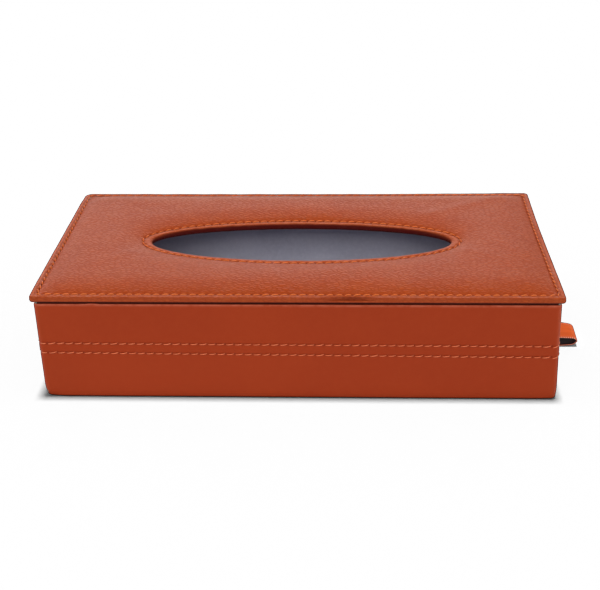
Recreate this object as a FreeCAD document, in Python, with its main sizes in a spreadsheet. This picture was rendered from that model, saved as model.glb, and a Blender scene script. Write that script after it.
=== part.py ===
import FreeCAD, Part
import math
import os
import Sketcher
from FreeCAD import Vector

# Tissue box cover: leather over grey board, with a padded lid and a magnetic bottom flap.
# Millimetres. +X runs to the pull ribbon's end, +Y to the back, +Z up.
# The origin is on the table, under the middle of the walls.

os.makedirs("parts", exist_ok=True)
doc = FreeCAD.newDocument("tissue_box_cover")

SIZES = [
    # Outside
    ("lid_length", 260.0, "lid, left to right"),
    ("lid_width", 134.0, "lid, front to back"),
    ("lid_overhang", 1.2, "lid past the walls, each side"),
    ("lid_corner_radius", 3.5, "lid corners seen from above"),
    ("wall_height", 53.6, "wrapped wall, rim to rim"),
    ("wall_corner_radius", 2.0, "wall corners seen from above"),
    ("base_reveal", 1.2, "wall rim above the table"),
    # Layers
    ("skin_thickness", 0.9, "leather"),
    ("lining_thickness", 0.5, "lining, and leather pared down where it is turned in"),
    ("wall_board_thickness", 2.0, "grey board of the walls"),
    ("lid_board_thickness", 1.8, "grey board of the lid"),
    ("wall_turn_in", 8.0, "leather turned in at the wall rims"),
    ("lid_turn_in", 10.0, "leather turned in under the lid"),
    # Mouth
    ("mouth_length", 161.0, "oval mouth, left to right"),
    ("mouth_width", 48.0, "oval mouth, front to back"),
    # Crown of the lid
    ("foam_thickness", 1.3, "wadding at full height"),
    ("seam_inset", 4.5, "edge of the lid to the sewn row"),
    ("mouth_seam_offset", 4.8, "edge of the mouth to the sewn row"),
    ("crown_run", 17.0, "sewn row to the full height of the crown"),
    ("mouth_crown_run", 10.0, "mouth's sewn row to the full height of the crown"),
    # Rounded edges
    ("lid_edge_round", 1.1, "upper edge of the lid"),
    ("lid_under_round", 0.8, "lower edge of the lid"),
    ("mouth_edge_round", 1.0, "leather rolled into the mouth"),
    ("wall_top_round", 1.2, "upper edge of the walls"),
    ("wall_bottom_round", 1.4, "lower edge of the walls"),
    ("flap_edge_round", 0.7, "lower edge of the flap"),
    # Flap
    ("flap_board_thickness", 2.0, "grey board of the flap"),
    ("flap_gap", 1.2, "flap to the walls, each side"),
    ("flap_corner_radius", 1.5, "flap corners seen from above"),
    ("flap_turn_in", 8.0, "leather turned in round the flap"),
    ("flap_seat_clearance", 0.3, "closed flap to the rails above it"),
    ("hinge_strip_cover", 2.4, "hinge strip glued under the left wall"),
    ("hinge_strip_reach", 0.3, "hinge strip past the wall's inner face"),
    # Rails inside the walls
    ("rail_height", 5.0, "strips inside the walls"),
    ("rail_depth", 5.0, "front and back strips"),
    ("catch_rail_depth", 16.0, "right strip, which holds the magnets"),
    # Magnets
    ("magnet_diameter", 10.0, "disc magnets"),
    ("magnet_thickness", 1.5, "disc magnets"),
    ("magnet_inset", 8.5, "free edge of the flap to the magnets' centres"),
    ("magnet_spacing", 80.0, "between the two magnets of a pair"),
    ("magnet_clearance", 0.1, "magnet to the side of its pocket"),
    # Pull ribbon
    ("ribbon_width", 16.0, "satin ribbon"),
    ("ribbon_thickness", 0.4, "satin ribbon"),
    ("ribbon_offset", 4.5, "middle of the ribbon, towards the front"),
    ("ribbon_tail", 15.0, "ribbon glued on the flap's lining"),
    ("ribbon_ply_gap", 0.06, "between the two plies"),
    ("ribbon_lift", 0.1, "lower ply above the table"),
    ("ribbon_bend", 0.28, "inner ply's bends at the flap's edge, at mid thickness"),
    ("ribbon_notch_clearance", 1.0, "notch in the right rail past the ribbon"),
    ("loop_reach", 21.8, "wall to the loop's tip"),
    ("loop_tip_radius", 3.8, "both bends of the loop's tip"),
    ("loop_tip_height", 8.3, "corner of the upper bend above the table"),
    ("loop_crest_reach", 11.0, "wall to the corner under which the loop crests"),
    ("loop_crest_height", 11.4, "the same corner above the table"),
    ("loop_crest_radius", 6.0, "crest of the loop"),
    ("loop_root_reach", 1.9, "wall to where the upper ply starts to rise"),
    ("loop_root_radius", 1.6, "bend where the upper ply starts to rise"),
    # Cuts
    ("overrun", 1.0, "cuts past the face they leave by"),
]

sheet = doc.addObject("Spreadsheet::Sheet", "Sizes")
for row, (alias, amount, note) in enumerate(SIZES, start=1):
    sheet.set(f"A{row}", alias)
    sheet.set(f"B{row}", str(amount))
    sheet.set(f"C{row}", note)
    sheet.setAlias(f"B{row}", alias)
doc.recompute()


def cell(alias):
    return f"Sizes.{alias}"


def value(expression):
    """The number that an expression on the sheet gives now."""
    return float(gauge.evalExpression(str(expression)))


gauge = doc.addObject("App::FeaturePython", "Gauge")

# Sizes that follow from the driving ones, as expressions
skin = cell("skin_thickness")
lining = cell("lining_thickness")
wall_thickness = f"({skin} + {cell('wall_board_thickness')} + {lining})"
wall_length = f"({cell('lid_length')} - 2 * {cell('lid_overhang')})"
wall_width = f"({cell('lid_width')} - 2 * {cell('lid_overhang')})"
wall_top = f"({cell('base_reveal')} + {cell('wall_height')})"
cavity_length = f"({wall_length} - 2 * {wall_thickness})"
cavity_width = f"({wall_width} - 2 * {wall_thickness})"
board_length = f"({wall_length} - 2 * {skin})"
board_width = f"({wall_width} - 2 * {skin})"
lid_board_bottom = f"({wall_top} + {lining})"
lid_board_top = f"({lid_board_bottom} + {cell('lid_board_thickness')})"
lid_edge_thickness = f"({lining} + {cell('lid_board_thickness')} + {skin})"
flap_length = f"({cavity_length} - 2 * {cell('flap_gap')})"
flap_width = f"({cavity_width} - 2 * {cell('flap_gap')})"
flap_board_length = f"({flap_length} - 2 * {skin})"
flap_board_width = f"({flap_width} - 2 * {skin})"
flap_thickness = f"({skin} + {cell('flap_board_thickness')} + {lining})"
rail_bottom = f"({flap_thickness} + {cell('flap_seat_clearance')})"
magnet_line = f"({flap_length} / 2 - {cell('magnet_inset')})"
pocket_radius = f"({cell('magnet_diameter')} / 2 + {cell('magnet_clearance')})"
ribbon_step = f"({cell('ribbon_thickness')} + {cell('ribbon_ply_gap')})"

# How the crown rises: shares of its run and of its height
crown_shares = [(0, 0), (0.36, 0.7), (1, 1)]

# A quarter round in steps: shares of its radius, outwards and back from the rim
round_shares = [(round(1 - math.cos(turn), 4), round(1 - math.sin(turn), 4))
                for turn in (0, math.pi / 4, math.pi / 2)]


def new_body(label):
    body = doc.addObject("PartDesign::Body", label)
    body.Label = label
    return body


def new_sketch(body, name, **shifts):
    """A sketch on the body's horizontal plane, shifted by expressions for x, y or z."""
    plane = [part for part in body.Origin.OriginFeatures if part.Role == "XY_Plane"][0]
    sketch = body.newObject("Sketcher::SketchObject", name)
    sketch.AttachmentSupport = (plane, [""])
    sketch.MapMode = "FlatFace"
    for axis, expression in shifts.items():
        sketch.setExpression(f"AttachmentOffset.Base.{axis}", expression)
    return sketch


def constrain(sketch, name, expression, kind, *references):
    """A named dimension that follows the sheet."""
    index = sketch.addConstraint(Sketcher.Constraint(kind, *references, value(expression)))
    sketch.renameConstraint(index, name)
    sketch.setExpression(f"Constraints.{name}", expression)


def add_polygon(sketch, corners):
    """Closed straight outline; returns the number of its first line."""
    points = [Vector(x, y, 0) for x, y in corners]
    first = sketch.GeometryCount
    for number, start in enumerate(points):
        end = points[(number + 1) % len(points)]
        sketch.addGeometry(Part.LineSegment(start, end), False)
    for number in range(len(points)):
        following = first + (number + 1) % len(points)
        sketch.addConstraint(Sketcher.Constraint("Coincident", first + number, 2, following, 1))
    return first


def add_rectangle(sketch, name, length, width):
    """Sharp rectangle centred on the sketch's origin."""
    half_length = value(length) / 2
    half_width = value(width) / 2
    corners = [(-half_length, -half_width), (half_length, -half_width),
               (half_length, half_width), (-half_length, half_width)]
    first = add_polygon(sketch, corners)
    for line, direction in enumerate(("Horizontal", "Vertical", "Horizontal", "Vertical")):
        sketch.addConstraint(Sketcher.Constraint(direction, first + line))
    sketch.addConstraint(Sketcher.Constraint("Symmetric", first, 1, first + 2, 1, -1, 1))
    constrain(sketch, f"{name}_length", length, "DistanceX", first, 1, first, 2)
    constrain(sketch, f"{name}_width", width, "DistanceY", first + 1, 1, first + 1, 2)


def add_rounded_rectangle(sketch, name, length, width, radius):
    """Rectangle with round corners, centred on the sketch's origin."""
    corner = value(radius)
    x = value(length) / 2
    y = value(width) / 2
    inner_x = x - corner
    inner_y = y - corner
    first = sketch.GeometryCount
    sides = [((-inner_x, -y), (inner_x, -y)), ((x, -inner_y), (x, inner_y)),
             ((inner_x, y), (-inner_x, y)), ((-x, inner_y), (-x, -inner_y))]
    centres = [(inner_x, -inner_y), (inner_x, inner_y), (-inner_x, inner_y), (-inner_x, -inner_y)]
    for start, end in sides:
        sketch.addGeometry(Part.LineSegment(Vector(*start, 0), Vector(*end, 0)), False)
    for quarter, centre in enumerate(centres):
        circle = Part.Circle(Vector(*centre, 0), Vector(0, 0, 1), corner)
        start_angle = (quarter - 1) * math.pi / 2
        sketch.addGeometry(Part.ArcOfCircle(circle, start_angle, start_angle + math.pi / 2), False)
    for side in range(4):
        arc = first + 4 + side
        following = first + (side + 1) % 4
        sketch.addConstraint(Sketcher.Constraint("Tangent", first + side, 2, arc, 1))
        sketch.addConstraint(Sketcher.Constraint("Tangent", arc, 2, following, 1))
    for side in range(3):
        sketch.addConstraint(Sketcher.Constraint("Equal", first + 4, first + 5 + side))
    sketch.addConstraint(Sketcher.Constraint("Horizontal", first))
    sketch.addConstraint(Sketcher.Constraint("Symmetric", first + 4, 3, first + 6, 3, -1, 1))
    constrain(sketch, f"{name}_radius", radius, "Radius", first + 4)
    constrain(sketch, f"{name}_length", length, "DistanceX", first + 3, 1, first + 1, 1)
    constrain(sketch, f"{name}_width", width, "DistanceY", first, 1, first + 2, 1)


def add_oval(sketch, name, length, width):
    """Ellipse centred on the sketch's origin, long axis along X."""
    long_end = Vector(value(length) / 2, 0, 0)
    short_end = Vector(0, value(width) / 2, 0)
    oval = sketch.addGeometry(Part.Ellipse(long_end, short_end, Vector(0, 0, 0)), False)
    sketch.exposeInternalGeometry(oval)
    long_axis = oval + 1
    short_axis = oval + 2
    sketch.addConstraint(Sketcher.Constraint("Coincident", oval, 3, -1, 1))
    sketch.addConstraint(Sketcher.Constraint("Horizontal", long_axis))
    constrain(sketch, f"{name}_length", length, "Distance", long_axis)
    constrain(sketch, f"{name}_width", width, "Distance", short_axis)


def add_magnet_circles(sketch):
    """Pair of pocket circles on the sketch's Y axis."""
    radius = value(pocket_radius)
    half_spacing = value(cell("magnet_spacing")) / 2
    first = sketch.GeometryCount
    for side in (-1, 1):
        centre = Vector(0, side * half_spacing, 0)
        sketch.addGeometry(Part.Circle(centre, Vector(0, 0, 1), radius), False)
    sketch.addConstraint(Sketcher.Constraint("Equal", first, first + 1))
    sketch.addConstraint(Sketcher.Constraint("Symmetric", first, 3, first + 1, 3, -1, 1))
    sketch.addConstraint(Sketcher.Constraint("PointOnObject", first, 3, -2))
    constrain(sketch, "pocket_radius", pocket_radius, "Radius", first)
    constrain(sketch, "magnet_spacing", cell("magnet_spacing"), "DistanceY", first, 3, first + 1, 3)


def pad(body, sketch, name, height):
    feature = body.newObject("PartDesign::Pad", name)
    feature.Profile = (sketch, [""])
    feature.setExpression("Length", height)
    doc.recompute()


def pocket(body, sketch, name, depth, upwards=True):
    feature = body.newObject("PartDesign::Pocket", name)
    feature.Profile = (sketch, [""])
    feature.Reversed = upwards
    feature.setExpression("Length", depth)
    doc.recompute()


def loft(body, kind, name, sketches):
    feature = body.newObject(kind, name)
    feature.Profile = (sketches[0], [""])
    feature.Sections = [(sketch, [""]) for sketch in sketches[1:]]
    feature.Ruled = True
    doc.recompute()


def lower_rims(radius):
    """Heights above a slab's underside, and how far its outline draws back there to round the rim."""
    return [(f"{rim_share} * {radius}", f"{out_share} * {radius}")
            for out_share, rim_share in reversed(round_shares)]


def upper_rims(top, radius):
    """The same up to the slab's top."""
    return [(f"{top} - {rim_share} * {radius}", f"{out_share} * {radius}")
            for out_share, rim_share in round_shares]


def wrapped_slab(body, name, length, width, radius, rims):
    """A slab whose rims are rounded as leather rounds them, as a loft through rounded rectangles."""
    outlines = []
    for number, (z, inset) in enumerate(rims):
        sketch = new_sketch(body, f"{name}_outline_{number}", z=z)
        add_rounded_rectangle(sketch, name, f"{length} - 2 * {inset}", f"{width} - 2 * {inset}",
                              f"{radius} - {inset}")
        outlines.append(sketch)
    loft(body, "PartDesign::AdditiveLoft", f"{name}_slab", outlines)


def place(thing, **shifts):
    for axis, expression in shifts.items():
        thing.setExpression(f"Placement.Base.{axis}", expression)


def new_box(label, length, width, height, **shifts):
    box = doc.addObject("Part::Box", label)
    box.Label = label
    box.setExpression("Length", length)
    box.setExpression("Width", width)
    box.setExpression("Height", height)
    place(box, **shifts)
    return box


def magnet_pair(label, z):
    """Two discs, one toward the front and one toward the back."""
    discs = []
    for side, sign in (("front", "-"), ("back", "+")):
        disc = doc.addObject("Part::Cylinder", f"{label}_{side}")
        disc.setExpression("Radius", f"{cell('magnet_diameter')} / 2")
        disc.setExpression("Height", cell("magnet_thickness"))
        place(disc, x=magnet_line, y=f"{sign}{cell('magnet_spacing')} / 2", z=z)
        discs.append(disc)
    pair = doc.addObject("Part::Compound", label)
    pair.Label = label
    pair.Links = discs
    return pair


# Walls

def wall_board(label, quarter_turns, length, distance):
    """A grey board with mitred ends, its outer face at the distance from the middle."""
    board = new_body(label)
    board.Placement.Rotation = FreeCAD.Rotation(Vector(0, 0, 1), 90 * quarter_turns)
    place(board, z=f"{cell('base_reveal')} + {skin}")
    sketch = new_sketch(board, f"{label}_plan", y=f"-{distance}")
    thickness = value(cell("wall_board_thickness"))
    outer = value(length) / 2
    inner = outer - thickness
    corners = [(-outer, 0), (outer, 0), (inner, thickness), (-inner, thickness)]
    first = add_polygon(sketch, corners)
    sketch.addConstraint(Sketcher.Constraint("Symmetric", first, 1, first, 2, -2))
    sketch.addConstraint(Sketcher.Constraint("Symmetric", first + 2, 1, first + 2, 2, -2))
    sketch.addConstraint(Sketcher.Constraint("PointOnObject", first, 1, -1))
    inner_length = f"{length} - 2 * {cell('wall_board_thickness')}"
    constrain(sketch, "outer_length", length, "DistanceX", first, 1, first, 2)
    constrain(sketch, "inner_length", inner_length, "DistanceX", first + 2, 2, first + 2, 1)
    constrain(sketch, "thickness", cell("wall_board_thickness"), "DistanceY", first, 2, first + 2, 1)
    pad(board, sketch, f"{label}_blank", f"{cell('wall_height')} - 2 * {skin}")
    return board


def make_wall_skin():
    body = new_body("wall_skin")
    place(body, z=cell("base_reveal"))
    rims = lower_rims(cell("wall_bottom_round")) + upper_rims(cell("wall_height"), cell("wall_top_round"))
    wrapped_slab(body, "wall", wall_length, wall_width, cell("wall_corner_radius"), rims)
    cavity = new_sketch(body, "cavity_plan")
    add_rectangle(cavity, "cavity", cavity_length, cavity_width)
    pocket(body, cavity, "cavity_room", cell("wall_height"))
    band = new_sketch(body, "band_plan", z=cell("wall_turn_in"))
    add_rectangle(band, "band", f"{cavity_length} + 2 * {lining}", f"{cavity_width} + 2 * {lining}")
    pocket(body, band, "lining_room", f"{cell('wall_height')} - 2 * {cell('wall_turn_in')}")
    room = new_sketch(body, "board_plan", z=skin)
    add_rectangle(room, "outer_face", board_length, board_width)
    inner_face = f"2 * {cell('wall_board_thickness')}"
    add_rectangle(room, "inner_face", f"{board_length} - {inner_face}", f"{board_width} - {inner_face}")
    pocket(body, room, "board_room", f"{cell('wall_height')} - 2 * {skin}")
    return body


def make_wall_lining():
    body = new_body("wall_lining")
    place(body, z=f"{cell('base_reveal')} + {cell('wall_turn_in')}")
    plan = new_sketch(body, "lining_plan")
    add_rectangle(plan, "outer", f"{cavity_length} + 2 * {lining}", f"{cavity_width} + 2 * {lining}")
    add_rectangle(plan, "inner", cavity_length, cavity_width)
    pad(body, plan, "lining_band", f"{cell('wall_height')} - 2 * {cell('wall_turn_in')}")
    return body


# Lid

def add_crown(body, base, kind):
    """The soft rise between the sewn rows: a loft up from the outer row, cut back towards the mouth."""
    rise = []
    dip = []
    for number, (run_share, height_share) in enumerate(crown_shares):
        z = f"{base} + {height_share} * {cell('foam_thickness')}"
        run = f"{run_share} * {cell('crown_run')}"
        inset = f"({cell('seam_inset')} + {run})"
        sketch = new_sketch(body, f"{kind}_rise_{number}", z=z)
        add_rounded_rectangle(sketch, "rise", f"{cell('lid_length')} - 2 * {inset}",
                              f"{cell('lid_width')} - 2 * {inset}",
                              f"{cell('lid_corner_radius')} + {run}")
        rise.append(sketch)
        offset = f"({cell('mouth_seam_offset')} + {run_share} * {cell('mouth_crown_run')})"
        sketch = new_sketch(body, f"{kind}_dip_{number}", z=z)
        add_oval(sketch, "dip", f"{cell('mouth_length')} + 2 * {offset}",
                 f"{cell('mouth_width')} + 2 * {offset}")
        dip.append(sketch)
    loft(body, "PartDesign::AdditiveLoft", f"{kind}_crown", rise)
    loft(body, "PartDesign::SubtractiveLoft", f"{kind}_mouth_dip", dip)


def cut_mouth(body, rims):
    """An oval opening whose rims roll outwards above and below, as a loft through ovals."""
    lowest = (f"-{cell('overrun')}", rims[0][1])
    highest = (f"{lid_edge_thickness} + {cell('overrun')}", rims[-1][1])
    ovals = []
    for number, (z, offset) in enumerate([lowest, *rims, highest]):
        sketch = new_sketch(body, f"mouth_oval_{number}", z=z)
        add_oval(sketch, "mouth", f"{cell('mouth_length')} + 2 * {offset}",
                 f"{cell('mouth_width')} + 2 * {offset}")
        ovals.append(sketch)
    loft(body, "PartDesign::SubtractiveLoft", "mouth_cut", ovals)


def make_lid_board():
    body = new_body("lid_board")
    place(body, z=lid_board_bottom)
    plan = new_sketch(body, "lid_board_plan")
    add_rounded_rectangle(plan, "board", f"{cell('lid_length')} - 2 * {skin}",
                          f"{cell('lid_width')} - 2 * {skin}", f"{cell('lid_corner_radius')} - {skin}")
    add_oval(plan, "hole", f"{cell('mouth_length')} + 2 * {skin}", f"{cell('mouth_width')} + 2 * {skin}")
    pad(body, plan, "lid_board_blank", cell("lid_board_thickness"))
    return body


def make_lid_lining():
    body = new_body("lid_lining")
    place(body, z=wall_top)
    plan = new_sketch(body, "lid_lining_plan")
    turn_in = cell("lid_turn_in")
    add_rectangle(plan, "lining", f"{cell('lid_length')} - 2 * {turn_in}",
                  f"{cell('lid_width')} - 2 * {turn_in}")
    add_oval(plan, "hole", f"{cell('mouth_length')} + 2 * {turn_in}",
             f"{cell('mouth_width')} + 2 * {turn_in}")
    pad(body, plan, "lid_lining_sheet", lining)
    return body


def make_lid_foam():
    body = new_body("lid_foam")
    place(body, z=lid_board_top)
    add_crown(body, "0", "foam")
    return body


def make_lid_skin(wrapped_parts):
    """The lid's outer form with everything that the leather wraps taken out of it."""
    body = new_body("lid_form")
    place(body, z=wall_top)
    lower = lower_rims(cell("lid_under_round"))
    rims = lower + upper_rims(lid_edge_thickness, cell("lid_edge_round"))
    wrapped_slab(body, "lid", cell("lid_length"), cell("lid_width"), cell("lid_corner_radius"), rims)
    add_crown(body, lid_edge_thickness, "skin")
    cut_mouth(body, lower + upper_rims(lid_edge_thickness, cell("mouth_edge_round")))
    leather = body
    for number, wrapped in enumerate(wrapped_parts, start=1):
        cut = doc.addObject("Part::Cut", f"lid_wrap_{number}")
        cut.Base = leather
        cut.Tool = wrapped
        leather = cut
    leather.Label = "lid_skin"
    return leather


# Bottom flap

def make_flap_board():
    body = new_body("flap_board")
    place(body, z=skin)
    plan = new_sketch(body, "flap_board_plan")
    add_rectangle(plan, "board", flap_board_length, flap_board_width)
    pad(body, plan, "flap_board_blank", cell("flap_board_thickness"))
    circles = new_sketch(body, "flap_pocket_plan", x=magnet_line, z=cell("flap_board_thickness"))
    add_magnet_circles(circles)
    pocket(body, circles, "flap_magnet_pockets", cell("magnet_thickness"), upwards=False)
    return body


def make_flap_skin():
    body = new_body("flap_skin")
    rims = lower_rims(cell("flap_edge_round")) + [(flap_thickness, "0")]
    wrapped_slab(body, "flap", flap_length, flap_width, cell("flap_corner_radius"), rims)
    window = new_sketch(body, "flap_window_plan", z=f"{skin} + {cell('flap_board_thickness')}")
    add_rectangle(window, "window", f"{flap_length} - 2 * {cell('flap_turn_in')}",
                  f"{flap_width} - 2 * {cell('flap_turn_in')}")
    pocket(body, window, "lining_room", f"{lining} + {cell('overrun')}")
    room = new_sketch(body, "flap_room_plan", z=skin)
    add_rectangle(room, "room", flap_board_length, flap_board_width)
    pocket(body, room, "board_room", cell("flap_board_thickness"))
    return body


def make_flap_lining():
    body = new_body("flap_lining")
    place(body, z=f"{skin} + {cell('flap_board_thickness')}")
    plan = new_sketch(body, "flap_lining_plan")
    add_rectangle(plan, "lining", f"{flap_length} - 2 * {cell('flap_turn_in')}",
                  f"{flap_width} - 2 * {cell('flap_turn_in')}")
    pad(body, plan, "flap_lining_sheet", lining)
    return body


# Rails

def make_right_rail():
    """Holds the catch magnets, and is notched underneath to clear the ribbon."""
    body = new_body("right_rail")
    place(body, x=magnet_line, z=rail_bottom)
    middle = f"{cavity_length} / 2 - {cell('catch_rail_depth')} / 2 - {magnet_line}"
    plan = new_sketch(body, "rail_plan", x=middle)
    add_rectangle(plan, "rail", cell("catch_rail_depth"), cavity_width)
    pad(body, plan, "rail_blank", cell("rail_height"))
    notch = new_sketch(body, "notch_plan", x=middle, y=f"-{cell('ribbon_offset')}")
    add_rectangle(notch, "notch", f"{cell('catch_rail_depth')} + 2 * {cell('overrun')}",
                  f"{cell('ribbon_width')} + 2 * {cell('ribbon_notch_clearance')}")
    ribbon_depth = f"{ribbon_step} + {cell('ribbon_thickness')} - {cell('flap_seat_clearance')}"
    pocket(body, notch, "ribbon_notch", f"{ribbon_depth} + {cell('ribbon_notch_clearance')}")
    circles = new_sketch(body, "rail_pocket_plan")
    add_magnet_circles(circles)
    pocket(body, circles, "rail_magnet_pockets", cell("magnet_thickness"))
    return body


# Pull ribbon

def leftwards(start, end):
    """Unit vector to the left of a run, seen from the front."""
    return (end - start).cross(Vector(0, 1, 0)).normalize()


def ribbon_face(corners, radii, shift):
    """Lines and arcs parallel to the ribbon's route, shifted to its left."""
    edges = []
    here = corners[0] + leftwards(corners[0], corners[1]) * shift
    for before, corner, after, radius in zip(corners, corners[1:], corners[2:], radii):
        inward = (before - corner).normalize()
        outward = (after - corner).normalize()
        half_angle = inward.getAngle(outward) / 2
        tangent = radius / math.tan(half_angle)
        centre = corner + (inward + outward).normalize() * (radius / math.sin(half_angle))
        turns_left = leftwards(before, corner).dot(centre - corner) > 0
        shifted = radius - shift if turns_left else radius + shift
        arc = [centre + (point - centre).normalize() * shifted
               for point in (corner + inward * tangent, corner, corner + outward * tangent)]
        edges.append(Part.LineSegment(here, arc[0]).toShape())
        edges.append(Part.Arc(*arc).toShape())
        here = arc[2]
    last = corners[-1] + leftwards(corners[-2], corners[-1]) * shift
    edges.append(Part.LineSegment(here, last).toShape())
    return edges


def make_ribbon():
    """Both plies are glued on the flap's lining, pass its free edge and the rim, and meet in the loop."""
    thickness = value(cell("ribbon_thickness"))
    step = value(ribbon_step)
    flap_edge = value(flap_length) / 2
    wall_face = value(wall_length) / 2
    slack = value(f"({cell('flap_gap')} - {ribbon_step} - {cell('ribbon_thickness')}) / 2")
    tail = flap_edge - value(cell("ribbon_tail"))
    inner_top = value(flap_thickness) + thickness / 2
    inner_drop = flap_edge + slack + thickness / 2
    lower = value(cell("ribbon_lift")) + thickness / 2
    upper = lower + step
    tip = wall_face + value(cell("loop_reach"))
    crest = wall_face + value(cell("loop_crest_reach"))
    root = wall_face + value(cell("loop_root_reach"))
    tight = value(cell("ribbon_bend"))
    tip_radius = value(cell("loop_tip_radius"))
    route = [
        (tail, inner_top, None),
        (inner_drop, inner_top, tight),
        (inner_drop, lower, tight + step),
        (tip, lower, tip_radius),
        (tip, value(cell("loop_tip_height")), tip_radius),
        (crest, value(cell("loop_crest_height")), value(cell("loop_crest_radius"))),
        (root, upper, value(cell("loop_root_radius"))),
        (inner_drop + step, upper, tight),
        (inner_drop + step, inner_top + step, tight + step),
        (tail, inner_top + step, None),
    ]
    corners = [Vector(x, 0, z) for x, z, radius in route]
    radii = [radius for x, z, radius in route[1:-1]]
    left = ribbon_face(corners, radii, thickness / 2)
    right = ribbon_face(corners, radii, -thickness / 2)
    caps = [Part.LineSegment(left[0].Vertexes[0].Point, right[0].Vertexes[0].Point).toShape(),
            Part.LineSegment(left[-1].Vertexes[-1].Point, right[-1].Vertexes[-1].Point).toShape()]
    outline = Part.Wire(Part.__sortEdges__(left + right + caps))
    width = value(cell("ribbon_width"))
    ribbon = doc.addObject("Part::Feature", "pull_ribbon")
    ribbon.Label = "pull_ribbon"
    ribbon.Shape = Part.Face(outline).extrude(Vector(0, width, 0))
    ribbon.Placement.Base.y = -value(cell("ribbon_offset")) - width / 2
    return ribbon


half_cavity_length = f"{cavity_length} / 2"
half_cavity_width = f"{cavity_width} / 2"
rail_length = f"{cavity_length} - {cell('catch_rail_depth')}"
lid_board = make_lid_board()
lid_foam = make_lid_foam()
lid_lining = make_lid_lining()
parts = [
    wall_board("front_board", 0, board_length, f"{board_width} / 2"),
    wall_board("right_board", 1, board_width, f"{board_length} / 2"),
    wall_board("back_board", 2, board_length, f"{board_width} / 2"),
    wall_board("left_board", 3, board_width, f"{board_length} / 2"),
    make_wall_skin(),
    make_wall_lining(),
    lid_board,
    lid_foam,
    lid_lining,
    make_lid_skin([lid_board, lid_foam, lid_lining]),
    new_box("front_rail", rail_length, cell("rail_depth"), cell("rail_height"),
            x=f"-{half_cavity_length}", y=f"-{half_cavity_width}", z=rail_bottom),
    new_box("back_rail", rail_length, cell("rail_depth"), cell("rail_height"),
            x=f"-{half_cavity_length}", y=f"{half_cavity_width} - {cell('rail_depth')}", z=rail_bottom),
    make_right_rail(),
    magnet_pair("catch_magnets", rail_bottom),
    new_box("hinge_strip", f"{cell('hinge_strip_cover')} + {cell('hinge_strip_reach')}", flap_width, skin,
            x=f"-{half_cavity_length} - {cell('hinge_strip_cover')}", y=f"-{flap_width} / 2",
            z=f"{cell('base_reveal')} - {skin}"),
    make_flap_board(),
    make_flap_skin(),
    make_flap_lining(),
    magnet_pair("flap_magnets", f"{skin} + {cell('flap_board_thickness')} - {cell('magnet_thickness')}"),
    make_ribbon(),
]
doc.recompute()

failed = [thing.Name for thing in doc.Objects if {"Invalid", "Error"} & set(thing.State)]
if failed:
    raise RuntimeError(f"not built: {failed}")
for part in parts:
    if part.Shape.isNull() or not part.Shape.isValid():
        raise RuntimeError(f"bad shape: {part.Label}")
for part in parts:
    part.Shape.exportStep(os.path.join("parts", f"{part.Label}.step"))
    box = part.Shape.BoundBox
    print(f"{part.Label}: {len(part.Shape.Solids)} solid, {part.Shape.Volume:.1f} mm3, "
          f"z {box.ZMin:.2f} to {box.ZMax:.2f}")
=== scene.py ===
import math

import bmesh
import bpy
import numpy as np
from mathutils import Matrix, Vector, noise


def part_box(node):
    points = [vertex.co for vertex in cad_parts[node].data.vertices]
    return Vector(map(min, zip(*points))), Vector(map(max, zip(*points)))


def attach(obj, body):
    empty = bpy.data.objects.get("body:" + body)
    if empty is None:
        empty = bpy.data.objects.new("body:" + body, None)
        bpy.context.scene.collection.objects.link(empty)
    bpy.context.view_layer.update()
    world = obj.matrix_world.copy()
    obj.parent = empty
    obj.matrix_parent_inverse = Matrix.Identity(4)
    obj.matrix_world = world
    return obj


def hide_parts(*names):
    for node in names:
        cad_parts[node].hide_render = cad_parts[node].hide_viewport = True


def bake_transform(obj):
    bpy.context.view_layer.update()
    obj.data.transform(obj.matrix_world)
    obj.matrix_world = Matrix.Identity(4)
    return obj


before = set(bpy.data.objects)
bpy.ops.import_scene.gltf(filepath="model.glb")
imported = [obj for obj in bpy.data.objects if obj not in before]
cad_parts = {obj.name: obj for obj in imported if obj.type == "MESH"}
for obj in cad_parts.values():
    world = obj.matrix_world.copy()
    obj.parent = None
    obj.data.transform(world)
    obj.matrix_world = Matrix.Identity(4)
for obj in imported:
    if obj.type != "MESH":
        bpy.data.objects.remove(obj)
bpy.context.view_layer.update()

mm = 0.001
white = (1.0, 1.0, 1.0, 1.0)
print("frame loaded:", len(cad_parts), "nodes")


# Node helpers

def linear(r, g, b):
    shares = [c / 255 for c in (r, g, b)]
    return tuple(c / 12.92 if c < 0.0404 else ((c + 0.055) / 1.055) ** 2.4 for c in shares) + (1.0,)


def addNode(tree, kind, inputs=None, **options):
    made = tree.nodes.new(kind)
    for key, value in options.items():
        setattr(made, key, value)
    for key, value in (inputs or {}).items():
        if isinstance(value, bpy.types.NodeSocket):
            tree.links.new(value, made.inputs[key])
        else:
            made.inputs[key].default_value = value
    return made


def addMath(tree, operation, a, b=0.0):
    return addNode(tree, "ShaderNodeMath", {0: a, 1: b}, operation=operation).outputs[0]


def times(tree, a, b):
    return addMath(tree, "MULTIPLY", a, b)


def addVectorMath(tree, operation, a, b):
    return addNode(tree, "ShaderNodeVectorMath", {0: a, 1: b}, operation=operation).outputs[0]


def combine(tree, x=0.0, y=0.0, z=0.0):
    return addNode(tree, "ShaderNodeCombineXYZ", {0: x, 1: y, 2: z}).outputs[0]


def addMix(tree, share, a, b):
    return addNode(tree, "ShaderNodeMix", {0: share, 6: a, 7: b}, data_type="RGBA").outputs[2]


def addRange(tree, value, low=0.0, high=1.0, start=0.0, end=1.0, ease="LINEAR"):
    inputs = {"Value": value, "From Min": low, "From Max": high, "To Min": start, "To Max": end}
    return addNode(tree, "ShaderNodeMapRange", inputs, interpolation_type=ease).outputs[0]


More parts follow.
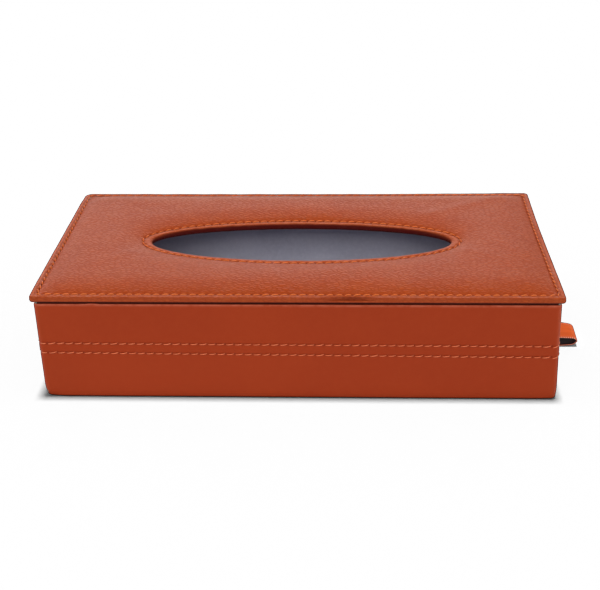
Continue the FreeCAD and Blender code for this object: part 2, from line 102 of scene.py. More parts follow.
def addNoise(tree, vector, scale, detail=2.0, roughness=0.5, distortion=0.0):
    return addNode(tree, "ShaderNodeTexNoise", {"Vector": vector, "Scale": scale, "Detail": detail,
                                                "Roughness": roughness, "Distortion": distortion}).outputs


def addBands(tree, vector, scale, distortion=0.0, detail=2.0, direction="X"):
    inputs = {"Vector": vector, "Scale": scale, "Distortion": distortion, "Detail": detail}
    return addNode(tree, "ShaderNodeTexWave", inputs, bands_direction=direction).outputs["Fac"]


def readMark(tree, name):
    return addNode(tree, "ShaderNodeAttribute", attribute_name=name).outputs["Fac"]


# Camera

camera = {
    "place": (23.03 * mm, -530.35 * mm, 299.27 * mm),
    "lookDown": 27.349,  # degrees
    "turn": 2.542,
    "roll": 1.008,
    "lens": 65.025,  # on a 36 mm wide sensor
}


def makeCamera():
    data = bpy.data.cameras.new("camera")
    data.sensor_width = 36
    data.lens = camera["lens"]
    data.clip_start = 0.01
    data.clip_end = 50
    eye = addObject("camera", data)
    turn = Matrix.Rotation(math.radians(camera["turn"]), 3, "Z")
    tilt = Matrix.Rotation(math.radians(90 - camera["lookDown"]), 3, "X")
    roll = Matrix.Rotation(math.radians(-camera["roll"]), 3, "Z")
    eye.rotation_euler = (turn @ tilt @ roll).to_euler()
    eye.location = camera["place"]
    bpy.context.scene.camera = eye


# Studio

studio = {
    "ambient": 0.16,
    "backdrop": (0.12, 0.6),  # height, as a direction's z, where gloss sees white fade and where it has gone
    "ceiling": 0.1,
    "aim": (0.0, 0.0, 0.05),
    "lamps": [  # name, place, size, power, what it lights and whether gloss shows it
        ("topLamp", (0.0, 0.4, 1.25), (1.2, 0.6), 7.2, "object", False),
        ("backLamp", (-0.2, 1.35, 0.5), (1.4, 0.3), 3.6, "object", True),
        ("frontLamp", (-0.1, -1.1, 0.91), (1.0, 0.6), 9.5, "object", True),
        ("leftLamp", (-0.95, -0.1, 0.6), (0.6, 0.6), 1.6, "object", True),
        ("rightLamp", (0.95, -0.1, 0.6), (0.6, 0.6), 1.6, "object", True),
        ("floorLamp", (0.0, 0.0, 5.0), (0.5, 0.5), 210.0, "floor", False),
    ],
    "floorDrop": 0.2,  # mm below the box
    "floorReach": 6.0,
}


def addObject(name, data):
    thing = bpy.data.objects.new(name, data)
    bpy.context.scene.collection.objects.link(thing)
    return thing


def makeLamps(floor):
    receivers = {}
    for lights, state in (("object", "EXCLUDE"), ("floor", "INCLUDE")):
        receivers[lights] = bpy.data.collections.new(lights + "Lit")
        receivers[lights].objects.link(floor)
        receivers[lights].collection_objects[0].light_linking.link_state = state
    for name, place, size, power, lights, shines in studio["lamps"]:
        data = bpy.data.lights.new(name, "AREA")
        data.shape = "RECTANGLE"
        data.size, data.size_y = size
        data.energy = power
        lamp = addObject(name, data)
        lamp.location = place
        lamp.rotation_euler = (Vector(studio["aim"]) - Vector(place)).to_track_quat("-Z", "Y").to_euler()
        lamp.light_linking.receiver_collection = receivers[lights]
        lamp.visible_glossy = shines


def addBackground(tree, strength):
    return addNode(tree, "ShaderNodeBackground", {"Strength": strength, "Color": white}).outputs[0]


def makeWorld():
    world = bpy.data.worlds.new("studio")
    bpy.context.scene.world = world
    world.use_nodes = True
    tree = world.node_tree
    tree.nodes.clear()
    path = tree.nodes.new("ShaderNodeLightPath").outputs
    direction = tree.nodes.new("ShaderNodeTexCoord").outputs["Generated"]
    height = addNode(tree, "ShaderNodeSeparateXYZ", {0: direction}).outputs["Z"]
    backdrop = addRange(tree, height, *studio["backdrop"], 1.0, studio["ceiling"], "SMOOTHSTEP")
    ambient, gloss, seen = (addBackground(tree, strength) for strength in (studio["ambient"], backdrop, 1.0))
    shown = addMath(tree, "MAXIMUM", path["Is Glossy Ray"], path["Is Transmission Ray"])
    light = addNode(tree, "ShaderNodeMixShader", {0: shown, 1: ambient, 2: gloss}).outputs[0]
    sky = addNode(tree, "ShaderNodeMixShader", {0: path["Is Camera Ray"], 1: light, 2: seen}).outputs[0]
    tree.links.new(sky, tree.nodes.new("ShaderNodeOutputWorld").inputs["Surface"])


def makeFloor():
    reach = studio["floorReach"]
    low = -studio["floorDrop"] * mm
    corners = [(-reach, -reach, low), (reach, -reach, low), (reach, reach, low), (-reach, reach, low)]
    mesh = bpy.data.meshes.new("floor")
    mesh.from_pydata(corners, [], [(0, 1, 2, 3)])
    floor = addObject("floor", mesh)
    floor.is_shadow_catcher = True
    return floor


makeCamera()
makeWorld()
makeLamps(makeFloor())
bpy.context.scene.view_settings.view_transform = "Standard"
print("studio ready")


# Shared effects: node groups that the materials place with their own values

effect = {
    "warpScale": 0.7,  # of the grain's scale
    "domeReach": 0.32,  # of a cell: where its dome has risen
    "wideRange": (0.38, 0.62),  # noise values between which the dye turns deep
    "closeRange": (0.42, 0.68),  # and pale
    "waver": 0.6,  # how unevenly the weave runs
    # patches that break up the painted highlight
    "patchScale": 260.0,
    "patchRange": (0.32, 0.6, 0.35, 1.0),
}


def newGroup(name, inputs, outputs):
    tree = bpy.data.node_groups.new(name, "ShaderNodeTree")
    for label, kind, value in inputs:
        socket = tree.interface.new_socket(label, in_out="INPUT", socket_type="NodeSocket" + kind)
        if value is not None:
            socket.default_value = value
    for label, kind in outputs:
        tree.interface.new_socket(label, in_out="OUTPUT", socket_type="NodeSocket" + kind)
    return tree, tree.nodes.new("NodeGroupInput").outputs, tree.nodes.new("NodeGroupOutput").inputs


def pebbleGrain():
    tree, given, result = newGroup(
        "pebbleGrain",
        [("Vector", "Vector", None), ("Scale", "Float", 500.0), ("Fine Scale", "Float", 2500.0),
         ("Fine Share", "Float", 0.3), ("Warp", "Float", 0.0006), ("Stretch", "Float", 1.0)],
        [("Height", "Float"), ("Crack", "Float"), ("Tone", "Float")])
    squeeze = combine(tree, addMath(tree, "DIVIDE", 1.0, given["Stretch"]), 1.0, 1.0)
    vector = addVectorMath(tree, "MULTIPLY", given["Vector"], squeeze)
    warp = addNoise(tree, vector, times(tree, given["Scale"], effect["warpScale"]))["Color"]
    centred = addVectorMath(tree, "SUBTRACT", warp, (0.5, 0.5, 0.5))
    shift = addNode(tree, "ShaderNodeVectorMath", {0: centred, "Scale": given["Warp"]}, operation="SCALE")
    cells = {"Vector": addVectorMath(tree, "ADD", vector, shift.outputs[0]), "Scale": given["Scale"]}
    edge = addNode(tree, "ShaderNodeTexVoronoi", cells, feature="DISTANCE_TO_EDGE").outputs["Distance"]
    dome = addRange(tree, edge, high=effect["domeReach"], ease="SMOOTHSTEP")
    tones = addNode(tree, "ShaderNodeTexVoronoi", cells).outputs["Color"]
    fine = addNoise(tree, vector, given["Fine Scale"], 3.0, 0.6)[0]
    height = addNode(tree, "ShaderNodeMix", {0: given["Fine Share"], 2: dome, 3: fine}).outputs[0]
    tree.links.new(height, result["Height"])
    tree.links.new(addMath(tree, "SUBTRACT", 1.0, dome), result["Crack"])
    tree.links.new(addNode(tree, "ShaderNodeSeparateColor", {0: tones}).outputs[0], result["Tone"])
    return tree


def dyeDrift():
    tree, given, result = newGroup(
        "dyeDrift",
        [("Vector", "Vector", None), ("Color", "Color", white), ("Deep", "Color", (0, 0, 0, 1)),
         ("Pale", "Color", white), ("Wide Scale", "Float", 22.0), ("Close Scale", "Float", 160.0),
         ("Deep Share", "Float", 0.3), ("Pale Share", "Float", 0.2)],
        [("Color", "Color")])
    wide = addNoise(tree, given["Vector"], given["Wide Scale"], 3.0)[0]
    close = addNoise(tree, given["Vector"], given["Close Scale"], 4.0)[0]
    deep = times(tree, addRange(tree, wide, *effect["wideRange"]), given["Deep Share"])
    pale = times(tree, addRange(tree, close, *effect["closeRange"]), given["Pale Share"])
    color = addMix(tree, deep, given["Color"], given["Deep"])
    tree.links.new(addMix(tree, pale, color, given["Pale"]), result["Color"])
    return tree


def clothWeave():
    tree, given, result = newGroup(
        "clothWeave",
        [("Vector", "Vector", None), ("Warp Scale", "Float", 900.0), ("Weft Scale", "Float", 900.0),
         ("Fuzz Scale", "Float", 1500.0), ("Fuzz Share", "Float", 0.4)],
        [("Height", "Float"), ("Tone", "Float")])
    warp, weft = (addBands(tree, given["Vector"], given[scale], effect["waver"], 1.0, direction)
                  for scale, direction in (("Warp Scale", "X"), ("Weft Scale", "Y")))
    fuzz = addNoise(tree, given["Vector"], given["Fuzz Scale"], 4.0, 0.7)[0]
    weave = addMath(tree, "MAXIMUM", warp, weft)
    height = addNode(tree, "ShaderNodeMix", {0: given["Fuzz Share"], 2: weave, 3: fuzz}).outputs[0]
    tree.links.new(height, result["Height"])
    tree.links.new(fuzz, result["Tone"])
    return tree


# Painted light on the leather: the seam, hole and dark colours are painted shade in the stitch grooves and
# holes, under edges, in hollows and in the gap under the lid; the pale colour is a painted highlight on crests
# and corners that catch the light, broken into patches.
def paintedShadeAndHighlight():
    tree, given, result = newGroup(
        "paintedShadeAndHighlight",
        [("Vector", "Vector", None), ("Color", "Color", white), ("Seam", "Color", (0, 0, 0, 1)),
         ("Hole", "Color", (0, 0, 0, 1)), ("Painted Shade", "Color", (0, 0, 0, 1)), ("Painted Highlight", "Color", white),
         ("Seam Share", "Float", 0.5), ("Hole Share", "Float", 0.6), ("Painted Highlight Share", "Float", 0.5)],
        [("Color", "Color")])
    patches = addNoise(tree, given["Vector"], effect["patchScale"], 3.0)[0]
    patches = addRange(tree, patches, *effect["patchRange"])
    paintedHighlight = times(tree, times(tree, readMark(tree, "paintedHighlight"), given["Painted Highlight Share"]), patches)
    color = addMix(tree, paintedHighlight, given["Color"], given["Painted Highlight"])
    for mark, name in (("groove", "Seam"), ("hole", "Hole")):
        color = addMix(tree, times(tree, readMark(tree, mark), given[name + " Share"]), color, given[name])
    tree.links.new(addMix(tree, readMark(tree, "paintedShade"), color, given["Painted Shade"]), result["Color"])
    return tree


effects = {made.name: made for made in (pebbleGrain(), dyeDrift(), clothWeave(), paintedShadeAndHighlight())}


# Materials: values first, then one short function for each finish

settings = {
    "roughness": "Roughness", "specular": "Specular IOR Level", "tint": "Specular Tint", "metallic": "Metallic",
    "sheen": "Sheen Weight", "sheenRoughness": "Sheen Roughness", "anisotropic": "Anisotropic",
}


def newMaterial(name, look):
    material = bpy.data.materials.new(name)
    material.use_nodes = True
    tree = material.node_tree
    shader = tree.nodes["Principled BSDF"].inputs
    for key, socket in settings.items():
        if key in look:
            shader[socket].default_value = look[key]
    return material, tree, shader, tree.nodes.new("ShaderNodeTexCoord").outputs["Object"]


def placeEffect(tree, name, place, values):
    return addNode(tree, "ShaderNodeGroup", {"Vector": place, **values}, node_tree=effects[name]).outputs


def addBump(tree, shader, height, look):
    values = {"Height": height, "Strength": look["bump"], "Distance": look["bumpDepth"]}
    tree.links.new(addNode(tree, "ShaderNodeBump", values).outputs[0], shader["Normal"])


leather = {
    "pebbled": {
        "grain": {"Scale": 720.0, "Fine Scale": 2400.0, "Fine Share": 0.26, "Warp": 0.0012, "Stretch": 2.1},
        "dye": {"Color": linear(179, 71, 19), "Deep": linear(163, 57, 13), "Pale": linear(195, 91, 38),
                "Deep Share": 0.35, "Pale Share": 0.25, "Wide Scale": 26.0, "Close Scale": 240.0},
        # painted light: the seam, hole and dark colours are painted shade, the pale one a painted highlight
        "paintedLight": {"Seam": linear(158, 56, 20), "Hole": linear(70, 16, 8), "Painted Shade": linear(70, 0, 0),
                 "Painted Highlight": linear(216, 122, 86), "Seam Share": 0.5, "Hole Share": 0.75, "Painted Highlight Share": 0.5},
        "crack": linear(124, 36, 12), "crackShare": 0.34, "toneShare": 0.14,
        "roughness": 0.4, "roughBy": "Crack", "roughRange": (0.36, 0.52), "paintedShadeDull": 0.4,
        "specular": 0.26, "tint": (1.0, 0.88, 0.74, 1.0), "bump": 1.0, "bumpDepth": 0.00019,
    },
    "smooth": {
        "grain": {"Scale": 900.0, "Fine Scale": 3400.0, "Fine Share": 0.55, "Warp": 0.0006},
        "dye": {"Color": linear(167, 59, 22), "Deep": linear(153, 51, 18), "Pale": linear(177, 71, 32),
                "Deep Share": 0.3, "Pale Share": 0.12, "Wide Scale": 16.0, "Close Scale": 300.0},
        # painted light: the hole and dark colours are painted shade, the pale one a painted highlight
        "paintedLight": {"Hole": linear(72, 16, 8), "Painted Shade": linear(64, 12, 6), "Painted Highlight": linear(214, 112, 84),
                 "Hole Share": 0.5, "Painted Highlight Share": 0.8},
        "crack": linear(153, 51, 18), "crackShare": 0.12, "toneShare": 0.0,
        "roughness": 0.5, "roughBy": "Tone", "roughRange": (0.47, 0.55), "paintedShadeDull": 0.0,
        "specular": 0.12, "tint": white, "bump": 0.12, "bumpDepth": 0.00015,
    },
}


def makeLeather(name, look):
    material, tree, shader, place = newMaterial(name, look)
    grain = placeEffect(tree, "pebbleGrain", place, look["grain"])
    color = placeEffect(tree, "dyeDrift", place, look["dye"])["Color"]
    color = addMix(tree, times(tree, grain["Crack"], look["crackShare"]), color, look["crack"])
    color = addMix(tree, times(tree, grain["Tone"], look["toneShare"]), color, look["dye"]["Pale"])
    # painted shade and painted highlight along seams, holes and edges
    color = placeEffect(tree, "paintedShadeAndHighlight", place, {"Color": color, **look["paintedLight"]})["Color"]
    tree.links.new(color, shader["Base Color"])
    low, high = look["roughRange"]
    rough = addRange(tree, grain[look["roughBy"]], start=low, end=high)
    # rougher where the painted shade lies
    dull = times(tree, readMark(tree, "paintedShade"), look["paintedShadeDull"])
    tree.links.new(addMath(tree, "ADD", rough, dull), shader["Roughness"])
    addBump(tree, shader, grain["Height"], look)
    return material


threadLook = {
    "lid": (linear(238, 130, 66), linear(198, 92, 42)),  # lit fibres, and painted shade between the plies
    "wall": (linear(240, 134, 92), linear(196, 92, 58)),
    "turns": 34.0, "fibreScale": 4000.0, "shade": 0.8,
    "roughness": 0.55, "specular": 0.15, "sheen": 0.1, "bump": 0.35, "bumpDepth": 0.00012,
}


def makeThread(name, color, deep):
    look = threadLook
    material, tree, shader, place = newMaterial(name, look)
    plies = addMath(tree, "SINE", times(tree, readMark(tree, "along"), look["turns"]))
    twist = addRange(tree, plies, low=-1.0)
    fibre = addNoise(tree, place, look["fibreScale"])[0]
    shade = times(tree, times(tree, twist, fibre), look["shade"])
    tree.links.new(addMix(tree, shade, color, deep), shader["Base Color"])
    addBump(tree, shader, twist, look)
    return material


cloth = {
    "lining": {
        "weave": {"Warp Scale": 190.0, "Weft Scale": 190.0, "Fuzz Scale": 900.0, "Fuzz Share": 0.6},
        "dye": {"Color": linear(211, 210, 225), "Deep": linear(178, 177, 194), "Pale": linear(229, 228, 240),
                "Deep Share": 0.4, "Pale Share": 0.3, "Wide Scale": 30.0, "Close Scale": 500.0},
        "shade": 0.35, "roughness": 0.85, "specular": 0.2, "sheen": 0.3, "sheenRoughness": 0.5,
        "bump": 0.35, "bumpDepth": 0.0002,
    },
    "ribbon": {
        "color": linear(255, 106, 38), "deep": linear(190, 50, 14), "pale": linear(255, 156, 90),
        # inside: painted shade on the loop's inner face
        "inside": linear(44, 0, 4), "rib": linear(255, 206, 184),
        "ribs": (0.62, 0.4, 1.0), "ribShare": 0.2,  # bands along the ribbon: scale, distortion, detail
        "draw": 0.25, "floatsAndSheen": (2.4, 3.0), "floatsAndSheenShare": 0.3,  # long pale streaks, uneven floats and painted sheen: scale and detail
        "patches": (0.3, 1.0), "patchRange": (0.62, 0.38), "patchShare": 0.16,
        "loops": 0.27, "loopRange": (0.4, 0.7), "selvageShare": 0.4,
        "roughness": 0.45, "specular": 0.05, "anisotropic": 0.5, "bump": 0.3, "bumpDepth": 0.00012,
    },
}


def makeLining():
    look = cloth["lining"]
    material, tree, shader, place = newMaterial("greyLining", look)
    weave = placeEffect(tree, "clothWeave", place, look["weave"])
    color = placeEffect(tree, "dyeDrift", place, look["dye"])["Color"]
    color = addMix(tree, times(tree, weave["Tone"], look["shade"]), color, look["dye"]["Deep"])
    tree.links.new(color, shader["Base Color"])
    addBump(tree, shader, weave["Height"], look)
    return material


def makeSatin():
    look = cloth["ribbon"]
    material, tree, shader, place = newMaterial("ribbonSatin", look)
    along, across = readMark(tree, "along"), readMark(tree, "across")
    flat = combine(tree, along, across)
    drawn = combine(tree, times(tree, along, look["draw"]), across)
    ribs = addBands(tree, flat, *look["ribs"])
    floatsAndSheen = addNoise(tree, drawn, *look["floatsAndSheen"])[0]
    patches = addRange(tree, addNoise(tree, drawn, *look["patches"])[0], *look["patchRange"])
    loops = addRange(tree, addBands(tree, flat, look["loops"]), *look["loopRange"])
    color = look["color"]
    # the pale streaks are partly painted sheen, and the loop's inner face is painted shade
    for mark, share, dye in ((ribs, look["ribShare"], "deep"), (floatsAndSheen, look["floatsAndSheenShare"], "pale"),
                             (patches, look["patchShare"], "deep"),
                             (readMark(tree, "selvage"), look["selvageShare"], "deep"),
                             (readMark(tree, "edge"), loops, "rib"), (readMark(tree, "inside"), 1.0, "inside")):
        color = addMix(tree, times(tree, mark, share), color, look[dye])
    tree.links.new(color, shader["Base Color"])
    addBump(tree, shader, ribs, look)
    return material


filling = {  # what lies under the leather; the mottle is a noise's scale, detail, roughness and distortion
    "board": {
        "mottle": (420.0, 6.0, 0.7), "dark": linear(128, 124, 116), "pale": linear(164, 160, 151),
        "fleckScale": 700.0, "fleckRange": (0.12, 0.0), "fleck": linear(92, 88, 80), "fleckShare": 0.5,
        "roughness": 0.9, "specular": 0.2, "bump": 0.4, "bumpDepth": 0.0002,
    },
    "wadding": {
        "mottle": (600.0, 5.0, 0.5, 1.5), "dark": linear(205, 202, 192), "pale": linear(235, 233, 226),
        "roughness": 0.95, "specular": 0.1, "bump": 0.5, "bumpDepth": 0.0003,
    },
    "nickel": {
        "mottle": (900.0, 5.0, 0.7), "dark": linear(176, 174, 170), "pale": linear(205, 204, 202),
        "roughness": 0.28, "roughRange": (0.2, 0.4), "specular": 0.5, "metallic": 1.0,
        "bump": 0.1, "bumpDepth": 0.00005,
    },
}


def mottled(tree, shader, place, look):
    blotch = addNoise(tree, place, *look["mottle"])[0]
    addBump(tree, shader, blotch, look)
    return blotch, addMix(tree, blotch, look["dark"], look["pale"])


def makeBoard():
    look = filling["board"]
    material, tree, shader, place = newMaterial("greyBoard", look)
    blotch, color = mottled(tree, shader, place, look)
    cells = addNode(tree, "ShaderNodeTexVoronoi", {"Vector": place, "Scale": look["fleckScale"]})
    dots = times(tree, addRange(tree, cells.outputs["Distance"], *look["fleckRange"]), look["fleckShare"])
    tree.links.new(addMix(tree, dots, color, look["fleck"]), shader["Base Color"])
    return material


def makeWadding():
    material, tree, shader, place = newMaterial("wadding", filling["wadding"])
    blotch, color = mottled(tree, shader, place, filling["wadding"])
    tree.links.new(color, shader["Base Color"])
    return material


def makeNickel():
    look = filling["nickel"]
    material, tree, shader, place = newMaterial("nickelPlate", look)
    blotch, color = mottled(tree, shader, place, look)
    tree.links.new(color, shader["Base Color"])
    low, high = look["roughRange"]
    tree.links.new(addRange(tree, blotch, start=low, end=high), shader["Roughness"])
    return material


looks = {
    "smooth_leather": makeLeather("smoothLeather", leather["smooth"]),
    "pebbled_leather": makeLeather("pebbledLeather", leather["pebbled"]),
    "lining": makeLining(),
    "grey_board": makeBoard(),
    "foam": makeWadding(),
    "magnet": makeNickel(),
    "ribbon": makeSatin(),
    "lid_thread": makeThread("lidThread", *threadLook["lid"]),
    "wall_thread": makeThread("wallThread", *threadLook["wall"]),
}
print("materials made")


# Sizes shared by the pieces, in mm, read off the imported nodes

def edges(node):
    low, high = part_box(node)
    return [c / mm for c in low], [c / mm for c in high]


lidLow, lidHigh = edges("lid_skin")
lidBoardLow, lidBoardHigh = edges("lid_board")
lidLiningLow, lidLiningHigh = edges("lid_lining")
wallLow, wallHigh = edges("wall_skin")
boardLow, boardHigh = edges("right_board")
liningLow, liningHigh = edges("wall_lining")
flapLow, flapHigh = edges("flap_skin")
flapBoardLow, flapBoardHigh = edges("flap_board")
flapLiningLow, flapLiningHigh = edges("flap_lining")
hingeLow, hingeHigh = edges("hinge_strip")
ribbonLow, ribbonHigh = edges("pull_ribbon")

stitch = {
    "pitch": 4.45,  # mm from one stitch to the next
    "lidInset": 3.0,  # the lid's outer row, in from its edge
    "wallRows": (31.3, 26.0),  # heights of the two rows round the walls
    "holeWidth": 0.5,
}
mouth = {  # three ovals: half length, half width in front and behind, and how far right the middle is, mm
    "opening": (80.4, 24.3, 20.9, 0.5),
    "seam": (85.4, 28.4, 26.0, 0.5),
    "turnIn": (90.5, 34.0, 34.0, 0.0),
}


# Rings of points and the meshes made from them

def makeRing(halfX, halfY, radius, z, counts):
    longSteps, shortSteps, cornerSteps = counts
    front, right, left = radius if isinstance(radius, tuple) else (radius,) * 3  # the last two are at the back
    corners = [(halfX - front, front - halfY, front), (halfX - right, halfY - right, right),
               (left - halfX, halfY - left, left), (front - halfX, front - halfY, front)]
    stops = [(front - halfX, -halfY, halfX - front, -halfY, longSteps),
             (halfX, front - halfY, halfX, halfY - right, shortSteps),
             (halfX - right, halfY, left - halfX, halfY, longSteps),
             (-halfX, halfY - left, -halfX, front - halfY, shortSteps)]
    points = []
    for side, (x0, y0, x1, y1, steps) in enumerate(stops):
        along = np.arange(steps) / steps
        points.append(np.stack([x0 + (x1 - x0) * along, y0 + (y1 - y0) * along], 1))
        turn = np.radians(-90 + 90 * side + 90 * np.arange(cornerSteps) / cornerSteps)
        x, y, size = corners[side]
        points.append(np.stack([x + size * np.cos(turn), y + size * np.sin(turn)], 1))
    flat = np.concatenate(points)
    return np.column_stack([flat, np.full(len(flat), float(z))])


def newMesh(name, points, faces, marks=None):
    mesh = bpy.data.meshes.new(name)
    mesh.from_pydata((np.asarray(points, float).reshape(-1, 3) * mm).tolist(), [], faces)
    for label, values in (marks or {}).items():
        mark = mesh.attributes.new(label, "FLOAT", "POINT")
        mark.data.foreach_set("value", np.asarray(values, np.float32).reshape(-1))
    return mesh


def finishMesh(name, mesh, sharp=50, recalculate=False):
    shape = bmesh.new()
    shape.from_mesh(mesh)
    if recalculate:
        bmesh.ops.recalc_face_normals(shape, faces=shape.faces)
    bmesh.ops.remove_doubles(shape, verts=shape.verts, dist=2e-6)
    if shape.calc_volume(signed=True) < 0:
        bmesh.ops.reverse_faces(shape, faces=shape.faces)
    shape.to_mesh(mesh)
    shape.free()
    mesh.shade_smooth()
    mesh.set_sharp_from_angle(angle=math.radians(sharp))
    return addObject(name, mesh)


def makeSkin(name, rings, closed=True, marks=None):
    count, around = len(rings), len(rings[0])
    index = np.arange(count * around).reshape(count, around)
    lower = index if closed else index[:-1]
    upper = np.roll(index, -1, 0) if closed else index[1:]
    quads = np.stack([lower, np.roll(lower, -1, 1), np.roll(upper, -1, 1), upper], -1).reshape(-1, 4)
    return finishMesh(name, newMesh(name, rings, quads.tolist(), marks))


def makeStrip(name, sections, marks=None, sharp=50):
    count, around = len(sections), len(sections[0])
    index = np.arange(count * around).reshape(count, around)
    lower, upper = index[:-1], index[1:]
    sides = np.stack([lower, np.roll(lower, -1, 1), np.roll(upper, -1, 1), upper], -1).reshape(-1, 4)
    half = around // 2
    ends = [np.stack([row[:half - 1], row[1:half], row[::-1][1:half], row[::-1][:half - 1]], -1)
            for row in index[[0, -1]]]
    faces = np.concatenate([sides, *ends]).tolist()
    return finishMesh(name, newMesh(name, sections, faces, marks), sharp, recalculate=True)


def dress(piece, look, *nodes):
    piece.data.materials.append(looks[look])
    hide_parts(*nodes)


def makeLayers(name, layers, settled, labels):
    rings = [settled(ring) for ring, shares in layers]
    marks = {label: [np.zeros(len(ring)) + shares.get(label, 0.0) for ring, shares in layers]
             for label in labels}
    return makeSkin(name, rings, marks=marks)


def quarterTurn(radius, degrees):  # how far in and how far up a rounded edge has come
    turn = math.radians(degrees)
    return radius * (1 - math.sin(turn)), radius * (1 - math.cos(turn))


def levelNormals(ring):
    along = np.roll(ring, -1, 0) - np.roll(ring, 1, 0)
    level = np.column_stack([along[:, 1], -along[:, 0]])
    return level / np.linalg.norm(level, axis=1)[:, None]


def sewAlong(ring):
    steps = np.linalg.norm(np.roll(ring, -1, 0) - ring, axis=1)
    along, total = np.concatenate([[0], np.cumsum(steps)[:-1]]), steps.sum()
    stitches = round(total / stitch["pitch"])
    pitch = total / stitches
    return {
        "ring": ring,
        "stitches": stitches,
        "beat": np.cos(2 * math.pi * stitches * along / total),  # 1 under a stitch, -1 at a hole
        "hole": bell((along % pitch) - pitch / 2, stitch["holeWidth"]),
    }


def bell(distance, width):
    return np.exp(-(distance / width) ** 2)


def hump(value, size, place, width):
    return size * bell(value - place, width)


def ramp(values, start, run, least=0):
    return np.clip((values - start) / run, least, 1)


def rise(share):
    return 1 - (1 - np.clip(share, 0, 1)) ** 2.1


def drift(points, grain, seed=0.0):
    return np.array([noise.noise(Vector((p[0] / grain, p[1] / grain, p[2] / grain + seed))) for p in points])


# Lid cover: pebbled leather over wadding, sewn along its edge and round the mouth

lidShape = {
    "counts": (330, 162, 12),
    "edgeCorner": (1.3, 2.4, 4.2),  # the corners' radius at the lid's edge: in front, back right, back left
    "seamCorner": (1.0, 1.4, 2.2),
    "innerCorner": (12.0, 1.0),  # how far in, and the radius there
    "flare": 1.1,  # the back right corner stands out this far
    "backDrop": ((-130, -30, 40, 130), (0.5, 0.7, 0.7, 0.15)),  # along x, how much lower the back edge lies
    "backRun": (50.0, 11.0),  # y where that starts, and over what length it comes
    "dropAbove": (56.5, 0.6),
    "hem": (10.0, 7.5, 5.0, 3.0, 1.6),  # the turned-in leather's rows, in from the edge
    "underRound": 0.9,
    "hemTurn": ((0, 0.9), (22.5, 0.9), (45, 0.7), (67.5, 0.35), (90, 0.1)),  # degrees, and how much painted shade
    "side": (-0.08, 56.1),
    "rimFoot": (0.0, 56.5),
    "rimPull": ((0.0, 58.0), (0.05, 58.4)),  # where the rim's curve heads, and where it comes from
    "rimCrest": (1.35, 58.35),  # how far in, and how high
    "rimSteps": 8,
    "rimPucker": 0.8,  # of the pucker
    "rimWave": (0.14, 11.0, 4.0),  # height, grain and seed
    "rimDrop": (0.5, 0.35),  # the crest lies lower, in front and behind
    "rimDropAt": (1.1, 1.0),  # how far in, and the width
    "rimEnds": (7.0, 1.0),  # from the front and back edges: where that starts, and where it is full
    "rimShade": (0.12, 0.0, 0.6),  # painted shade at the rim's edge: how much, how far in, and the width
    "rimHighlight": (0.8, 0.4),  # painted highlight on the rim's crest: in front, and elsewhere
    "rimHighlightAt": (1.2, 0.5),
    "dent": {  # where the front rim is pressed: how much, how far in, and the width; dark is the painted shade in the fold
        "x": 27.0, "width": 9.5, "in": (1.1, 0.6, 1.0), "down": (0.35, 1.0, 1.0), "dark": (0.5, 0.3, 0.7),
    },
    "seamHeight": 57.8,
    "crown": 2.5,
    "crownRun": (18.0, 12.0),  # how far in the crown rises: front and ends, back
    "mouthCrownRun": 18.0,
    "crownRows": 42,
    "rowEase": 0.55,  # the rows lie closer near the seams
    "lip": (  # from the seam to the opening: share of the way out and drop, in front and then behind
        (0.90, 0.0, 0.90, 0.0), (0.80, -0.08, 0.80, -0.08), (0.66, -0.14, 0.66, -0.12),
        (0.52, -0.15, 0.52, -0.04), (0.40, -0.1, 0.40, 0.12), (0.29, 0.0, 0.29, 0.38),
        (0.19, 0.14, 0.19, 0.75), (0.10, 0.34, 0.11, 1.2), (0.04, 0.62, 0.05, 1.65),
        (0.0, 1.1, 0.01, 2.1), (-0.01, 1.8, 0.0, 2.5), (0.0, 2.75, 0.03, 2.75),
    ),
    "lipWidth": 4.3,
    "lipWave": (0.2, 4.0, 3.0),
    "lipWaveAt": (0.4, 0.35),  # share of the way out, and the width
    # painted highlight on the lip's crest: where, and the width
    "lipHighlight": (0.5, 0.2),
    "lipHighlightFront": 0.6,  # of the painted highlight behind
    "behindFade": 1.6,
    "lipShade": (((0.3, 1.1, 1.9), (0, 0.75, 1)), ((0.1, 0.5, 1.0), (0, 0.9, 1))),  # painted shade by drop: in front, behind
    "lipHem": (0.08, 0.2, 0.4, 0.65, 1.0),
    "groove": 0.3,
    "grooveWidth": 1.0,
    # width of the painted shade along the seams
    "grooveMark": 0.9,
    "pucker": 0.08,
    "puckerWidth": (1.9, 1.7),  # at the edge, at the mouth
    "lipPucker": 0.14,
    "holeWidth": 0.6,
    "holeDepth": 0.3,
    "slack": ((0.22, 27.0, 0.0), (0.05, 7.0, 9.0)),  # height, grain and seed, wide and fine
    "slackRise": 1.6,
    "boardInset": (0.9, 0.95),
    "boardMouth": 0.14,
    "threadLie": 0.12,
}
creases = [  # from, to, half width and height, mm: the folds that the leather shows
    ((72, 31), (112, 55), 4.2, 0.42),
    ((-92, 48), (-60, 44), 6.0, 0.22),
    ((-88, -20), (-101, -30), 4.0, 0.2),
    ((89, -16), (104, -27), 4.0, 0.18),
    ((10, -40), (46, -38), 5.0, 0.15),
]
creaseEnd = 7.0  # mm over which a crease fades


def creaseHeight(x, y):
    total = np.zeros_like(x)
    for (x0, y0), (x1, y1), width, height in creases:
        reach = math.hypot(x1 - x0, y1 - y0)
        along = ((x - x0) * (x1 - x0) + (y - y0) * (y1 - y0)) / reach
        across = ((y - y0) * (x1 - x0) - (x - x0) * (y1 - y0)) / reach
        beyond = np.maximum(np.maximum(-along, along - reach), 0)
        total += height * bell(across, width) * bell(beyond, creaseEnd)
    return total


